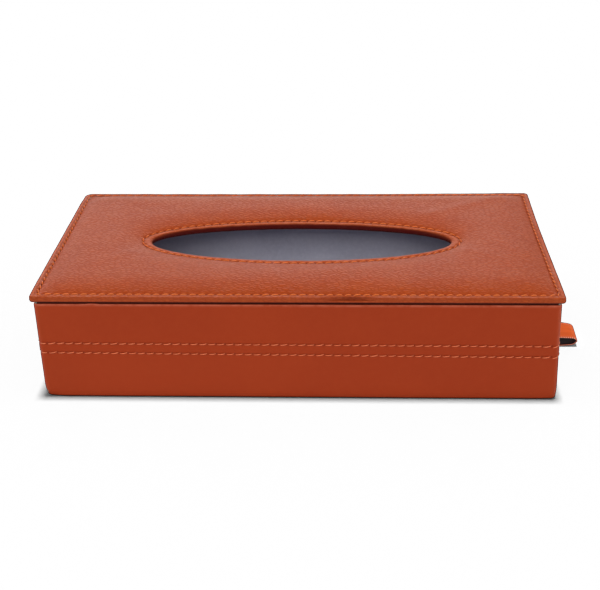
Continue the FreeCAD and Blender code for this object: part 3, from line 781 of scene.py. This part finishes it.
def lidRing(inset, z):
    far, radius = lidShape["innerCorner"]
    corner = tuple(float(np.interp(inset, [0, stitch["lidInset"], far], [edge, seam, radius]))
                   for edge, seam in zip(lidShape["edgeCorner"], lidShape["seamCorner"]))
    return makeRing(lidHigh[0] - inset, lidHigh[1] - inset, corner, z, lidShape["counts"])


def mouthRing(angles, share, z, outer="seam"):
    length, front, back, x = ((1 - share) * a + share * b for a, b in zip(mouth["opening"], mouth[outer]))
    width = np.where(np.sin(angles) < 0, front, back)
    return np.column_stack([x + length * np.cos(angles), width * np.sin(angles), np.zeros(len(angles)) + z])


def settleLid(ring):
    look = lidShape
    share = ramp(ring[:, 0], 0, lidHigh[0]) * ramp(ring[:, 1], 0, lidHigh[1])
    near = ramp(ring[:, 1], *look["backRun"])
    above = ramp(ring[:, 2], *look["dropAbove"])
    ring = ring.copy()
    ring[:, 2] -= np.interp(ring[:, 0], *look["backDrop"]) * near * near * (3 - 2 * near) * above
    ring[:, 0] += look["flare"] * share ** 2
    return ring


def wave(points, height, grain, seed):
    return height * drift(points, grain, seed)


def lidHem():
    look, base = lidShape, lidLow[2]
    # the turned-in leather and the round under the lid's edge get painted shade
    for inset in look["hem"]:
        yield lidRing(inset, base), {"paintedShade": 0.8}
    for degrees, dark in look["hemTurn"]:
        inset, up = quarterTurn(look["underRound"], degrees)
        yield lidRing(inset, base + up), {"paintedShade": dark}
    yield lidRing(*look["side"]), {}


def rimSection():
    crest, steps = lidShape["rimCrest"], lidShape["rimSteps"]
    curve = list(zip(lidShape["rimFoot"], *lidShape["rimPull"], crest))
    for t in np.linspace(0, 1, steps + 1):
        yield [(1 - t) ** 3 * a + 3 * (1 - t) ** 2 * t * b + 3 * (1 - t) * t * t * c + t ** 3 * d
               for a, b, c, d in curve]
    seam = (stitch["lidInset"], lidShape["seamHeight"])
    for t in np.linspace(0, 1, steps + 1)[1:-1]:
        yield crest[0] + (seam[0] - crest[0]) * t, crest[1] + (seam[1] - crest[1]) * t * t * (3 - 2 * t)


def lidRim(row):
    look, seam = lidShape, stitch["lidInset"]
    dent = look["dent"]
    for inset, z in rimSection():
        ring = lidRing(inset, z)
        front = ring[:, 1] < 0
        pressed = bell(ring[:, 0] - dent["x"], dent["width"]) * front
        ring[:, 2] += look["pucker"] * row["beat"] * np.clip(inset / seam, 0, 1) * look["rimPucker"]
        ring[:, 1] += pressed * hump(inset, *dent["in"])
        ring[:, 2] -= pressed * hump(inset, *dent["down"])
        ring[:, 2] += wave(ring * (1, 1, 0), *look["rimWave"])
        low = np.interp(np.abs(ring[:, 1]), lidHigh[1] - np.array(look["rimEnds"]), (0, 1))
        ring[:, 2] -= low * np.where(front, *look["rimDrop"]) * hump(inset, 1, *look["rimDropAt"])
        # the seam and holes darken as painted shade; the dent's fold and the rim's edge get painted shade, and
        # the crest a painted highlight
        yield ring, {
            "groove": bell(seam - inset, look["grooveMark"]),
            "hole": row["hole"] * bell(seam - inset, look["holeWidth"]),
            "paintedShade": pressed * hump(inset, *dent["dark"]) + hump(inset, *look["rimShade"]),
            "paintedHighlight": np.where(front, *look["rimHighlight"]) * hump(inset, 1, *look["rimHighlightAt"]),
        }


def lidCrown(edge, lip):
    look, seam = lidShape, stitch["lidInset"]
    length, front, back, middle = mouth["seam"]
    half = np.where(edge["ring"][:, 1] < 0, front, back)
    for step in range(look["crownRows"] + 1):
        t = step / look["crownRows"]
        t = t - look["rowEase"] * t * (1 - t) * (1 - 2 * t)
        ring = (1 - t) * edge["ring"] + t * lip["ring"]
        x, y = ring[:, 0], ring[:, 1]
        fromX, fromY = lidHigh[0] - seam - np.abs(x), lidHigh[1] - seam - np.abs(y)
        fromEdge = np.minimum(fromX, fromY)
        size = np.hypot((x - middle) / length, y / half)
        fromMouth = (size - 1) * size / np.hypot((x - middle) / length ** 2, y / half ** 2)
        lift = rise(fromX / look["crownRun"][0]) * rise(fromY / np.where(y < 0, *look["crownRun"]))
        lift = lift * rise(fromMouth / look["mouthCrownRun"])
        groove = np.maximum(bell(fromEdge, look["grooveWidth"]), bell(fromMouth, look["grooveWidth"]))
        hole = np.maximum(edge["hole"] * bell(fromEdge, look["holeWidth"]),
                          lip["hole"] * bell(fromMouth, look["holeWidth"]))
        atEdge, atMouth = look["puckerWidth"]
        pucker = edge["beat"] * bell(fromEdge, atEdge) + lip["beat"] * bell(fromMouth, atMouth)
        level = ring * (1, 1, 0)
        slack = sum(wave(level, *values) for values in look["slack"]) + creaseHeight(x, y)
        ring[:, 2] = look["seamHeight"] + look["crown"] * lift - look["groove"] * groove
        ring[:, 2] += look["pucker"] * pucker - look["holeDepth"] * hole
        ring[:, 2] += np.minimum(lift * look["slackRise"], 1) * slack
        # the seams and stitch holes are darkened as painted shade
        yield ring, {"groove": groove, "hole": hole}


def mouthLip(angles, row):
    look = lidShape
    behind = np.clip(np.sin(angles) * look["behindFade"], 0, 1)
    paintedHighlight = look["lipHighlightFront"] + (1 - look["lipHighlightFront"]) * behind
    for inFront, dropInFront, atBack, dropAtBack in look["lip"]:
        share = inFront + (atBack - inFront) * behind
        drop = dropInFront + (dropAtBack - dropInFront) * behind
        ring = mouthRing(angles, share, look["seamHeight"] - drop)
        away = (1 - share) * look["lipWidth"]
        ring[:, 2] += look["lipPucker"] * row["beat"] * bell(away, look["puckerWidth"][1])
        ring[:, 2] -= look["groove"] * bell(away, look["grooveWidth"])
        ring[:, 2] += wave(ring, *look["lipWave"]) * hump(share, 1, *look["lipWaveAt"])
        # the stitch row darkens as painted shade, the lip's face gets painted shade by how far it drops, and
        # its crest a painted highlight
        near, far = (np.interp(drop, *values) for values in look["lipShade"])
        yield ring, {
            "groove": bell(away, look["grooveMark"]),
            "hole": row["hole"] * bell(away, look["holeWidth"]),
            "paintedShade": (1 - behind) * near + behind * far,
            "paintedHighlight": paintedHighlight * hump(share, 1, *look["lipHighlight"]),
        }
    # the turned-in leather round the mouth gets painted shade
    for share in look["lipHem"]:
        yield mouthRing(angles, share, lidLow[2], "turnIn"), {"paintedShade": 0.9}


def roundLidBoard(angles):
    look, thin, top = lidShape, lidBoardLow[2], lidBoardHigh[2]
    close, loose = look["boardInset"]
    yield mouthRing(angles, 1.0, thin, "turnIn"), {}
    yield mouthRing(angles, look["boardMouth"], thin, "turnIn"), {}
    for t in np.arange(4) / 4:
        yield (1 - t) * mouthRing(angles, look["boardMouth"], top, "turnIn") + t * lidRing(loose, top), {}
    for inset, z in ((close, top), (close, thin), (look["hem"][0], thin)):
        yield lidRing(inset, z), {}


def makeLidCover():
    look = lidShape
    edge = sewAlong(lidRing(stitch["lidInset"], look["seamHeight"]))
    length, front, back, middle = mouth["seam"]
    x, y = edge["ring"][:, 0], edge["ring"][:, 1]
    angles = np.arctan2(y / np.where(y < 0, front, back), (x - middle) / length)
    lip = sewAlong(mouthRing(angles, 1.0, look["seamHeight"]))
    layers = [*lidHem(), *lidRim(edge), *lidCrown(edge, lip), *mouthLip(angles, lip), *roundLidBoard(angles)]
    cover = makeLayers("lid_cover", layers, settleLid, ("groove", "hole", "paintedShade", "paintedHighlight"))
    dress(cover, "pebbled_leather", "lid_skin", "lid_foam")
    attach(cover, "case")
    up = np.tile((0.0, 0.0, 1.0), (len(angles), 1))
    for name, row in (("lid_edge_stitches", edge), ("mouth_stitches", lip)):
        ring = settleLid(row["ring"])
        ring[:, 2] = look["seamHeight"] - look["groove"] + look["pucker"] + look["threadLie"]
        sewRow(name, ring, up, row["stitches"], "lid_thread",
               (thread["width"], thread["slant"]))


# Wall wrap: one smooth leather strip, turned over the boards' top and bottom edges

wallShape = {
    "counts": (330, 166, 10),
    "corner": (2.2, 0.35),  # radius outside, and the least inside
    "bottomRound": 0.8,
    "bottomTurn": ((0, 0.6), (18, 0.5), (36, 0.45), (54, 0.35), (72, 0.2), (90, 0.05)),  # degrees, how much painted shade
    "rows": (4.0, 6.0, 9.0, 12.5, 16.0, 19.5, 22.0, *np.arange(23.6, 33.9, 0.42),
             35.5, 38.0, 41.0, 44.5, 47.5, 50.0, 51.6),  # heights, closer where it is sewn
    "topRound": 0.75,
    "topTurn": ((0, 0, 0.3), (25, 0, 0.8), (45, 0, 1), (65, 0, 0.8), (90, 0.5, 0)),  # degrees, how much painted shade, and how much painted highlight
    "shoulder": 53.2,  # height of the outer edge, under the lid
    "recess": ((0.84, 53.24), (0.84, 54.02), (2.3, 54.1)),  # the wrap steps in over the board's edge
    "topInset": 2.6,
    "frontDrop": (1.12, 0.3, 0.9, 3.0),  # front and back reach lower than the sides: by, from, over, and height
    "lean": (1.8, (52, 50), (60, 68)),  # the right wall stands out at the bottom: by z, and by x
    "rowSag": (0.33, 0.78),  # the rows run this much lower in the middle, and twice that at the right
    "sagRange": (6, 44),
    "cornerLift": 5.5,  # height over which the bottom corners are rounded away
    "cornerInset": ((-100, 100), (0.96, 0.48)),  # by x
    "cornerWidth": 6.0,
    "paintedHighlight": (1.3, 0.4, 0.7, 0.35),  # painted highlight down the corners: width, share on the left, above the rows and below
    "dent": 0.1,
    "dentWidth": 0.6,
    "holeDepth": 0.18,
    "swell": (0.12, 1.7),  # between the rows: how far out, and the width
    "slack": (0.12, 30.0, 0.0),  # how far out, grain and seed
    "topLump": {"x": 27.0, "width": 8.0, "out": 0.25},
    "topFold": {"x": -100.0, "width": 3.0, "up": 0.35},
    "turnIn": 8.0,
    "linedCavity": 125.4,  # half length inside the turned-in leather
    "threadLie": -0.16,
}


def wallRing(inset, z):
    outer, least = wallShape["corner"]
    return makeRing(wallHigh[0] - inset, wallHigh[1] - inset, max(outer - inset, least), z, wallShape["counts"])


def cornerDistance(ring):
    return np.hypot(wallHigh[0] - np.abs(ring[:, 0]), wallHigh[1] - np.abs(ring[:, 1]))


def sagAt(ring):
    upper, lower = stitch["wallRows"]
    low, high = wallShape["sagRange"]
    share = np.interp(ring[:, 2], (low, lower, upper, high), (0, *wallShape["rowSag"][::-1], 0))
    return share * (1 + ring[:, 0] / wallHigh[0])


def settleWall(ring):
    look, base = wallShape, wallLow[2]
    low = np.clip(1 - (ring[:, 2] - base) / look["cornerLift"], 0, 1) ** 2
    inset = np.interp(ring[:, 0], *look["cornerInset"])
    pull = inset * low * bell(cornerDistance(ring), look["cornerWidth"])
    most, (top, height), (start, run) = look["lean"]
    lean = most * np.clip((top - ring[:, 2]) / height, 0, 1) * ramp(ring[:, 0], start, run)
    drop, gap, run, height = look["frontDrop"]
    drop = drop * ramp(np.abs(ring[:, 1]), flapHigh[1] + gap, run) * (1 - ramp(ring[:, 2], base, height))
    ring = ring.copy()
    ring[:, :2] -= np.sign(ring[:, :2]) * pull[:, None]
    ring[:, 2] -= drop + sagAt(ring)
    ring[:, 0] += lean
    return ring


def wallBottom():
    # the rounded bottom edge gets painted shade, darker underneath
    for degrees, dark in wallShape["bottomTurn"]:
        inset, up = quarterTurn(wallShape["bottomRound"], degrees)
        yield wallRing(inset, wallLow[2] + up), {"paintedShade": dark}


def wallFace(row, normals):
    look, rows = wallShape, stitch["wallRows"]
    bottom, top = wallLow[2], wallHigh[2]
    width, left, above, below = look["paintedHighlight"]
    paintedHighlight = bell(cornerDistance(row["ring"]), width) * np.where(row["ring"][:, 0] > 0, 1, left)
    swell, swellWidth = look["swell"]
    for z in look["rows"]:
        ring = wallRing(0, z)
        near = max(bell(z - height, look["dentWidth"]) for height in rows)
        push = swell * bell(z - sum(rows) / 2, swellWidth)
        push = push - near * (look["dent"] + look["holeDepth"] * row["hole"])
        push = push + wave(ring, *look["slack"]) * math.sin(math.pi * (z - bottom) / (top - bottom))
        ring[:, :2] += normals * push[:, None]
        # stitch holes darken as painted shade; the corners get a painted highlight, stronger on the right and
        # above the rows
        yield ring, {"hole": near * row["hole"], "paintedHighlight": paintedHighlight * (above if z > rows[0] else below)}


def wallTop():
    look = wallShape
    lump, fold = look["topLump"], look["topFold"]
    for degrees, dark, pale in look["topTurn"]:
        down, inset = quarterTurn(look["topRound"], degrees)
        ring = wallRing(inset, look["shoulder"] - down)
        front = ring[:, 1] < 0
        out = bell(ring[:, 0] - lump["x"], lump["width"]) * front
        ring[:, 1] -= lump["out"] * out * math.sin(math.radians(degrees) * 2)
        ring[:, 2] += fold["up"] * bell(ring[:, 0] - fold["x"], fold["width"]) * front
        # the rounded top edge gets a painted highlight, and painted shade at its top under the lid
        yield ring, {"paintedShade": dark, "paintedHighlight": pale}


def wallInside():
    look = wallShape
    bottom, top, turnIn = wallLow[2], wallHigh[2], look["turnIn"]
    inside = wallHigh[0] - look["linedCavity"]
    boardIn, boardOut = wallHigh[0] - boardLow[0], wallHigh[0] - boardHigh[0]
    # the recess under the lid's edge is painted shade, as dark as it goes
    for inset, z in (*look["recess"], (look["topInset"], top)):
        yield wallRing(inset, z), {"paintedShade": 1.0}
    for inset, z in ((inside - 0.3, top), (inside, top - 0.3), (inside, top - 3), (inside, top - turnIn),
                     (boardIn, top - turnIn), (boardIn, boardHigh[2]), (boardOut, boardHigh[2]),
                     (boardOut, boardLow[2]), (boardIn, boardLow[2]), (boardIn, bottom + turnIn),
                     (inside, bottom + turnIn), (inside, bottom + 3), (inside, bottom + 0.5),
                     (inside - 0.5, bottom)):
        yield wallRing(inset, z), {}


def makeWallWrap():
    look = wallShape
    row = sewAlong(wallRing(0, 0))
    normals = levelNormals(row["ring"])
    layers = [*wallBottom(), *wallFace(row, normals), *wallTop(), *wallInside()]
    wrap = makeLayers("wall_wrap", layers, settleWall, ("hole", "paintedShade", "paintedHighlight"))
    dress(wrap, "smooth_leather", "wall_skin")
    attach(wrap, "case")
    facing = np.column_stack([normals, np.zeros(len(normals))])
    for name, z in zip(("upper_wall_stitches", "lower_wall_stitches"), stitch["wallRows"]):
        ring = settleWall(wallRing(look["dent"] + look["threadLie"], z))
        sewRow(name, ring, facing, row["stitches"], "wall_thread",
               (thread["wallWidth"], thread["wallSlant"]))


# Linings: thin grey cloth glued inside the walls, under the lid and on the flap

lining = {
    "wallCounts": (120, 60, 6), "flatCounts": (160, 78, 4),
    "wallRows": 26, "wallCorner": 0.6, "flatCorner": 1.0,
    "thickness": 0.5, "gap": 0.04, "margin": 0.1,
    "slack": (0.0006, 18.0, 0.0),
    "flapRows": (40, 20, 8),
}


def makeWallLining():
    look = lining
    halfX, halfY = liningHigh[0] - look["gap"], liningHigh[1] - look["gap"]
    corner, thin = look["wallCorner"], look["thickness"] - 2 * look["gap"]
    heights = np.linspace(liningLow[2] + look["margin"], liningHigh[2] - look["margin"], look["wallRows"])
    rings = [makeRing(halfX, halfY, corner + thin, z, look["wallCounts"]) for z in heights]
    for z in heights[::-1]:
        ring = makeRing(halfX - thin, halfY - thin, corner, z, look["wallCounts"])
        ring[:, :2] *= 1 + wave(ring, *look["slack"])[:, None]
        rings.append(ring)
    band = makeSkin("wall_lining_cloth", rings)
    dress(band, "lining", "wall_lining")
    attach(band, "case")


def makeLidLining():
    look = lining
    halfX, halfY = lidLiningHigh[0] - look["margin"], lidLiningHigh[1] - look["margin"]
    holeX, holeY = (mouth["turnIn"][side] + look["margin"] for side in (0, 1))
    outer = makeRing(halfX, halfY, look["flatCorner"], 0, look["flatCounts"])
    inner = outer / np.hypot(outer[:, 0] / holeX, outer[:, 1] / holeY)[:, None]
    rings = []
    shares = np.linspace(0, 1, 5)
    for z, shares in ((lidLiningLow[2] + look["gap"], shares), (lidLiningHigh[2] - look["gap"], shares[::-1])):
        for share in shares:
            rings.append((1 - share) * outer + share * inner + (0, 0, z))
    panel = makeSkin("lid_lining_cloth", rings)
    dress(panel, "lining", "lid_lining")
    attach(panel, "case")


# Bottom flap: a thin board wrapped in leather, lined on its inner face

flapShape = {
    "counts": (160, 80, 6),
    "corner": 1.6,
    "round": 0.8,
    "outerRows": (52, 42, 32, 23, 16, 11, 7, 4, 2.2, 1.2),  # in from the edge, mm
    "innerRows": (1.8, 3.5, 6.0, 8.0),
    "hollowRows": (8, 20, 40),
}


def flapRing(inset, z):
    radius = max(flapShape["corner"] - inset, 0.0)
    return makeRing(flapHigh[0] - inset, flapHigh[1] - inset, radius, z, flapShape["counts"])


def makeFlapCover():
    look, middle, top = flapShape, flapHigh[1], flapHigh[2]
    turns = [quarterTurn(look["round"], degrees) for degrees in np.linspace(0, 90, 5)]
    boardIn, boardBottom, boardTop = flapHigh[0] - flapBoardHigh[0], flapBoardLow[2], flapBoardHigh[2]
    places = [(inset, flapLow[2]) for inset in (middle, *look["outerRows"])]
    places += [(inset, up) for inset, up in turns] + [(inset, top - down) for down, inset in turns]
    places += [(inset, top) for inset in look["innerRows"]]
    places += [(look["innerRows"][-1], boardTop), (boardIn, boardTop), (boardIn, boardBottom)]
    places += [(inset, boardBottom) for inset in (*look["hollowRows"], middle)]
    cover = makeSkin("flap_cover", [flapRing(inset, z) for inset, z in places], closed=False)
    dress(cover, "smooth_leather", "flap_skin")
    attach(cover, "flap")


def makeFlapLining():
    look = lining
    halfX, halfY = flapLiningHigh[0] - look["margin"], flapLiningHigh[1] - look["margin"]
    insets = (halfY, *look["flapRows"], 0)
    places = [(inset, flapLiningLow[2] + look["gap"]) for inset in insets]
    places += [(inset, flapLiningHigh[2] - look["gap"]) for inset in insets[::-1]]
    rings = [makeRing(halfX - inset, halfY - inset, max(look["flatCorner"] - inset, 0), z, look["flatCounts"])
             for inset, z in places]
    panel = makeSkin("flap_lining_cloth", rings, closed=False)
    dress(panel, "lining", "flap_lining")
    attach(panel, "flap")


# Hinge leather: glued under the left wall, bends at the hinge line, runs under the flap's edge

hingeShape = {
    "section": [  # x, lowest and highest z
        (-127.8, 0.30, 1.2), (-127.0, 0.30, 1.2), (-126.2, 0.30, 1.2), (-125.6, 0.30, 1.2),
        (-125.25, 0.30, 1.2), (-125.05, 0.30, 1.2), (-124.97, 0.30, 1.2), (-124.89, 0.30, 1.2),
        (-124.80, 0.30, 1.2), (-124.71, 0.29, 1.18), (-124.63, 0.27, 1.15), (-124.55, 0.24, 1.10),
        (-124.35, 0.16, 1.0), (-124.15, 0.08, 0.9), (-123.9, 0.03, 0.85),
    ],
    "bendFrom": -125.05,
    "bendTo": -124.55,
    "rows": 90,
}


def makeHingeLeather():
    look = hingeShape
    outline = [(x, high) for x, low, high in look["section"]]
    outline += [(x, low) for x, low, high in reversed(look["section"])]
    rows = np.linspace(hingeLow[1], hingeHigh[1], look["rows"])
    hinge = makeStrip("hinge_leather", [[(x, y, z) for x, z in outline] for y in rows])
    dress(hinge, "smooth_leather", "hinge_strip")
    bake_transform(hinge)


# Pull loop: a satin ribbon glued on the flap, out under the right wall and back

ribbonShape = {
    "thickness": 0.4,
    "selvageThickness": 0.55,  # of that
    "across": 20,
    "route": [  # x, z and the corner's radius, mm, along the middle of the ribbon
        (109.2, 3.62, 0), (124.57, 3.62, 0.3), (124.57, 0.3, 0.3), (150.6, 0.3, 2.9), (150.6, 6.4, 2.9),
        (138.6, 6.9, 5), (131.2, 0.76, 2.0), (125.03, 0.76, 0.3), (125.03, 4.06, 0.3), (109.2, 4.06, 0),
    ],
    "step": 0.7,
    "outFrom": (3, 6),  # past the wall: where the loop stops lying flat, and over what length
    "highFrom": (1.5, 3),
    "tiltAt": (141, 8),  # the upper run tips one way before this x and the other way after it
    "tilt": 0.18,
    "nearDrop": 0.2,  # the edge that faces the viewer lies lower
    "nearLift": (1.1, 134, 16),  # and its lower run bows up
    "farOut": (0.6, 144, 6),
    "selvage": 1.1,
    "edge": 1.2,
    # how far in from the edges the painted shade inside the loop begins
    "inside": 0.5,
}


def roundedRoute(route, step):
    points = [np.array(route[0][:2])]
    for before, here, after in zip(route, route[1:], route[2:]):
        a, b, c = (np.array(p[:2]) for p in (before, here, after))
        toA, toC = (a - b) / np.linalg.norm(a - b), (c - b) / np.linalg.norm(c - b)
        turn = math.acos(np.clip(np.dot(toA, toC), -1, 1))
        cut = here[2] / math.tan(turn / 2)
        start, end = b + toA * cut, b + toC * cut
        centre = b + (toA + toC) / np.linalg.norm(toA + toC) * here[2] / math.sin(turn / 2)
        a0 = math.atan2(*(start - centre)[::-1])
        a1 = math.atan2(*(end - centre)[::-1])
        sweep = (a1 - a0 + math.pi) % (2 * math.pi) - math.pi
        steps = max(3, round(abs(sweep) * here[2] / step))
        last = points[-1]
        run = np.linalg.norm(start - last)
        for share in np.linspace(0, 1, max(2, round(run / step / 2)))[1:-1]:
            points.append((1 - share) * last + share * start)
        for share in np.linspace(0, 1, steps + 1):
            angle = a0 + sweep * share
            points.append(centre + here[2] * np.array([math.cos(angle), math.sin(angle)]))
    points.append(np.array(route[-1][:2]))
    return np.array(points)


def restLoop(sections):  # the loop leans and tips, as worn satin does
    look = ribbonShape
    x, y, z = (sections[..., side].copy() for side in range(3))
    near = (ribbonHigh[1] - y) / (ribbonHigh[1] - ribbonLow[1])  # 1 at the edge that faces the viewer
    out = ramp(x, wallHigh[0] + look["outFrom"][0], look["outFrom"][1])
    high = ramp(z, *look["highFrom"])
    middle, run = look["tiltAt"]
    tilt = -ramp(x, middle, run, -1)
    lift, liftFrom, liftRun = look["nearLift"]
    push, pushFrom, pushRun = look["farOut"]
    z += out * high * (z * (look["tilt"] * (1 - near) * tilt - look["nearDrop"] * near))
    z += out * (1 - high) * near * lift * ramp(x, liftFrom, liftRun) ** 2
    x += out * (1 - near) * push * ramp(x, pushFrom, pushRun)
    return np.stack([x, y, z], -1)


def makePullLoop():
    look = ribbonShape
    line = roundedRoute(look["route"], look["step"])
    tangent = np.gradient(line, axis=0)
    tangent /= np.linalg.norm(tangent, axis=1)[:, None]
    side = np.column_stack([-tangent[:, 1], tangent[:, 0]])
    y = np.linspace(ribbonLow[1], ribbonHigh[1], look["across"] + 1)
    thin = np.full(len(y), look["thickness"] / 2)
    thin[[0, -1]] *= look["selvageThickness"]
    sections = []
    for (x, z), (sideX, sideZ) in zip(line, side):
        upper = np.column_stack([x + sideX * thin, y, z + sideZ * thin])
        lower = np.column_stack([x - sideX * thin, y, z - sideZ * thin])
        sections.append(np.concatenate([upper, lower[::-1]]))
    runs = np.concatenate([[0], np.cumsum(np.linalg.norm(np.diff(line, axis=0), axis=1))])
    place = np.concatenate([y, y[::-1]])
    margin = np.minimum(place - ribbonLow[1], ribbonHigh[1] - place)
    upperSide = np.arange(len(place)) < len(y)
    spread = np.zeros((len(line), len(place)))
    # inside marks the loop's inner face, which the satin paints in shade
    marks = {
        "along": spread + runs[:, None], "across": spread + place,
        "selvage": spread + (margin < look["selvage"]), "edge": spread + np.clip(look["edge"] - margin, 0, 1),
        "inside": spread + (upperSide & (margin > look["inside"])),
    }
    loop = makeStrip("pull_loop", restLoop(np.array(sections)), marks, 60)
    dress(loop, "ribbon", "pull_ribbon")
    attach(loop, "flap")


# Stitches: Geometry Nodes lay one stitch after another along a row

thread = {
    "length": 3.9,  # mm
    "width": 0.66,
    "wallWidth": 0.56,
    "wallSlant": 8.0,
    "rise": 0.42,
    "sink": 0.2,
    "slant": 13.0,  # degrees
    "wander": 3.0,
    "seed": 5,
    "spread": (0.93, 1.06),  # sizes between which the stitches vary
    "plump": (0.45, 0.4, 0.8, 0.8, 0.16),  # how the thread swells from hole to hole
}


def addShape(tree, kind, inputs, **options):
    return addNode(tree, "GeometryNode" + kind, inputs, **options).outputs[0]


def makeStitchTree():
    tree = bpy.data.node_groups.new("stitchRow", "GeometryNodeTree")
    names = {}
    for kind, labels in (("Geometry", ["Path"]), ("Int", ["Stitches", "Seed"]), ("Material", ["Thread"]),
                         ("Float", ["Length", "Width", "Rise", "Sink", "Slant", "Wander"])):
        for name in labels:
            socket = tree.interface.new_socket(name, in_out="INPUT", socket_type="NodeSocket" + kind)
            names[name] = socket.identifier
    tree.interface.new_socket("Stitching", in_out="OUTPUT", socket_type="NodeSocketGeometry")
    given = tree.nodes.new("NodeGroupInput").outputs
    result = tree.nodes.new("NodeGroupOutput").inputs
    line = addShape(tree, "MeshToCurve", {0: given["Path"]})
    places = addShape(tree, "ResampleCurve", {"Curve": line, "Count": given["Stitches"]})
    smallest, largest = thread["spread"]
    size = addNode(tree, "FunctionNodeRandomValue", {2: smallest, 3: largest, "Seed": given["Seed"]}).outputs[1]
    row = addShape(tree, "InstanceOnPoints", {"Points": places, "Instance": oneStitch(tree, given),
                                              "Rotation": stitchLie(tree, given), "Scale": size})
    real = addShape(tree, "RealizeInstances", {0: row})
    done = addShape(tree, "SetMaterial", {"Geometry": real, "Material": given["Thread"]})
    tree.links.new(done, result[0])
    return tree, names


def stitchLie(tree, given):
    facing = addNode(tree, "GeometryNodeInputNamedAttribute", {"Name": "facing"}, data_type="FLOAT_VECTOR")
    tangent = tree.nodes.new("GeometryNodeInputTangent").outputs[0]
    lie = addNode(tree, "FunctionNodeAxesToRotation", {0: tangent, 1: facing.outputs[0]},
                  primary_axis="X", secondary_axis="Z").outputs[0]
    less = times(tree, given["Wander"], -1.0)
    loose = addNode(tree, "FunctionNodeRandomValue", {2: less, 3: given["Wander"], "Seed": given["Seed"]})
    slant = addMath(tree, "ADD", given["Slant"], loose.outputs[1])
    turn = addNode(tree, "FunctionNodeAxisAngleToRotation", {0: (0, 0, 1), 1: slant}).outputs[0]
    return addNode(tree, "FunctionNodeRotateRotation", {0: lie, 1: turn}, rotation_space="LOCAL").outputs[0]


def oneStitch(tree, given):
    half = times(tree, given["Length"], 0.5)
    low = times(tree, given["Sink"], -1.0)
    arc = addShape(tree, "CurveQuadraticBezier", {
        "Resolution": 7, "Start": combine(tree, times(tree, half, -1.0), z=low),
        "Middle": combine(tree, z=times(tree, given["Rise"], 2.0)), "End": combine(tree, half, z=low)})
    share = tree.nodes.new("GeometryNodeSplineParameter").outputs["Factor"]
    marked = addShape(tree, "StoreNamedAttribute", {"Geometry": arc, "Name": "along", "Value": share},
                      data_type="FLOAT")
    power, skew, level, most, least = thread["plump"]
    swell = times(tree, times(tree, share, addMath(tree, "SUBTRACT", 1.0, share)), 4.0)
    swell = addMath(tree, "POWER", addMath(tree, "MAXIMUM", swell, 0.0), power)
    lean = addMath(tree, "ADD", times(tree, share, skew), level)
    swell = addMath(tree, "ADD", times(tree, times(tree, swell, lean), most), least)
    radius = times(tree, swell, times(tree, given["Width"], 0.5))
    section = addShape(tree, "CurvePrimitiveCircle", {"Resolution": 6, "Radius": 1.0})
    return addShape(tree, "CurveToMesh", {"Curve": marked, "Profile Curve": section, "Scale": radius,
                                          "Fill Caps": True})


def sewRow(name, ring, facing, stitches, look, lie):
    count = len(ring)
    path = bpy.data.meshes.new(name + "_path")
    path.from_pydata((np.asarray(ring) * mm).tolist(), [(i, (i + 1) % count) for i in range(count)], [])
    aim = path.attributes.new("facing", "FLOAT_VECTOR", "POINT")
    aim.data.foreach_set("vector", np.asarray(facing, np.float32).reshape(-1))
    guide = addObject(name + "_path", path)
    layer = guide.modifiers.new("stitches", "NODES")
    layer.node_group = stitchTree
    width, slant = lie
    values = {
        "Stitches": stitches, "Length": thread["length"] * mm, "Width": width * mm, "Rise": thread["rise"] * mm,
        "Sink": thread["sink"] * mm, "Slant": math.radians(slant), "Wander": math.radians(thread["wander"]),
        "Seed": thread["seed"], "Thread": looks[look],
    }
    for key, value in values.items():
        layer[stitchSockets[key]] = value
    bpy.context.view_layer.update()
    shown = guide.evaluated_get(bpy.context.evaluated_depsgraph_get())
    mesh = bpy.data.meshes.new_from_object(shown)
    mesh.name = name
    bpy.data.objects.remove(guide)
    sewn = finishMesh(name, mesh, 80)
    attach(sewn, "case")
    print(name, stitches, "stitches,", len(mesh.polygons), "faces")


stitchTree, stitchSockets = makeStitchTree()
makeLidCover()
print("lid cover made")
makeWallWrap()
print("wall wrap made")
makeWallLining()
makeLidLining()
makeFlapCover()
makeFlapLining()
makeHingeLeather()
makePullLoop()
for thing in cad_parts.values():
    for holder in thing.material_slots:
        holder.material = looks.get(holder.material.name, holder.material)
print("pieces made")
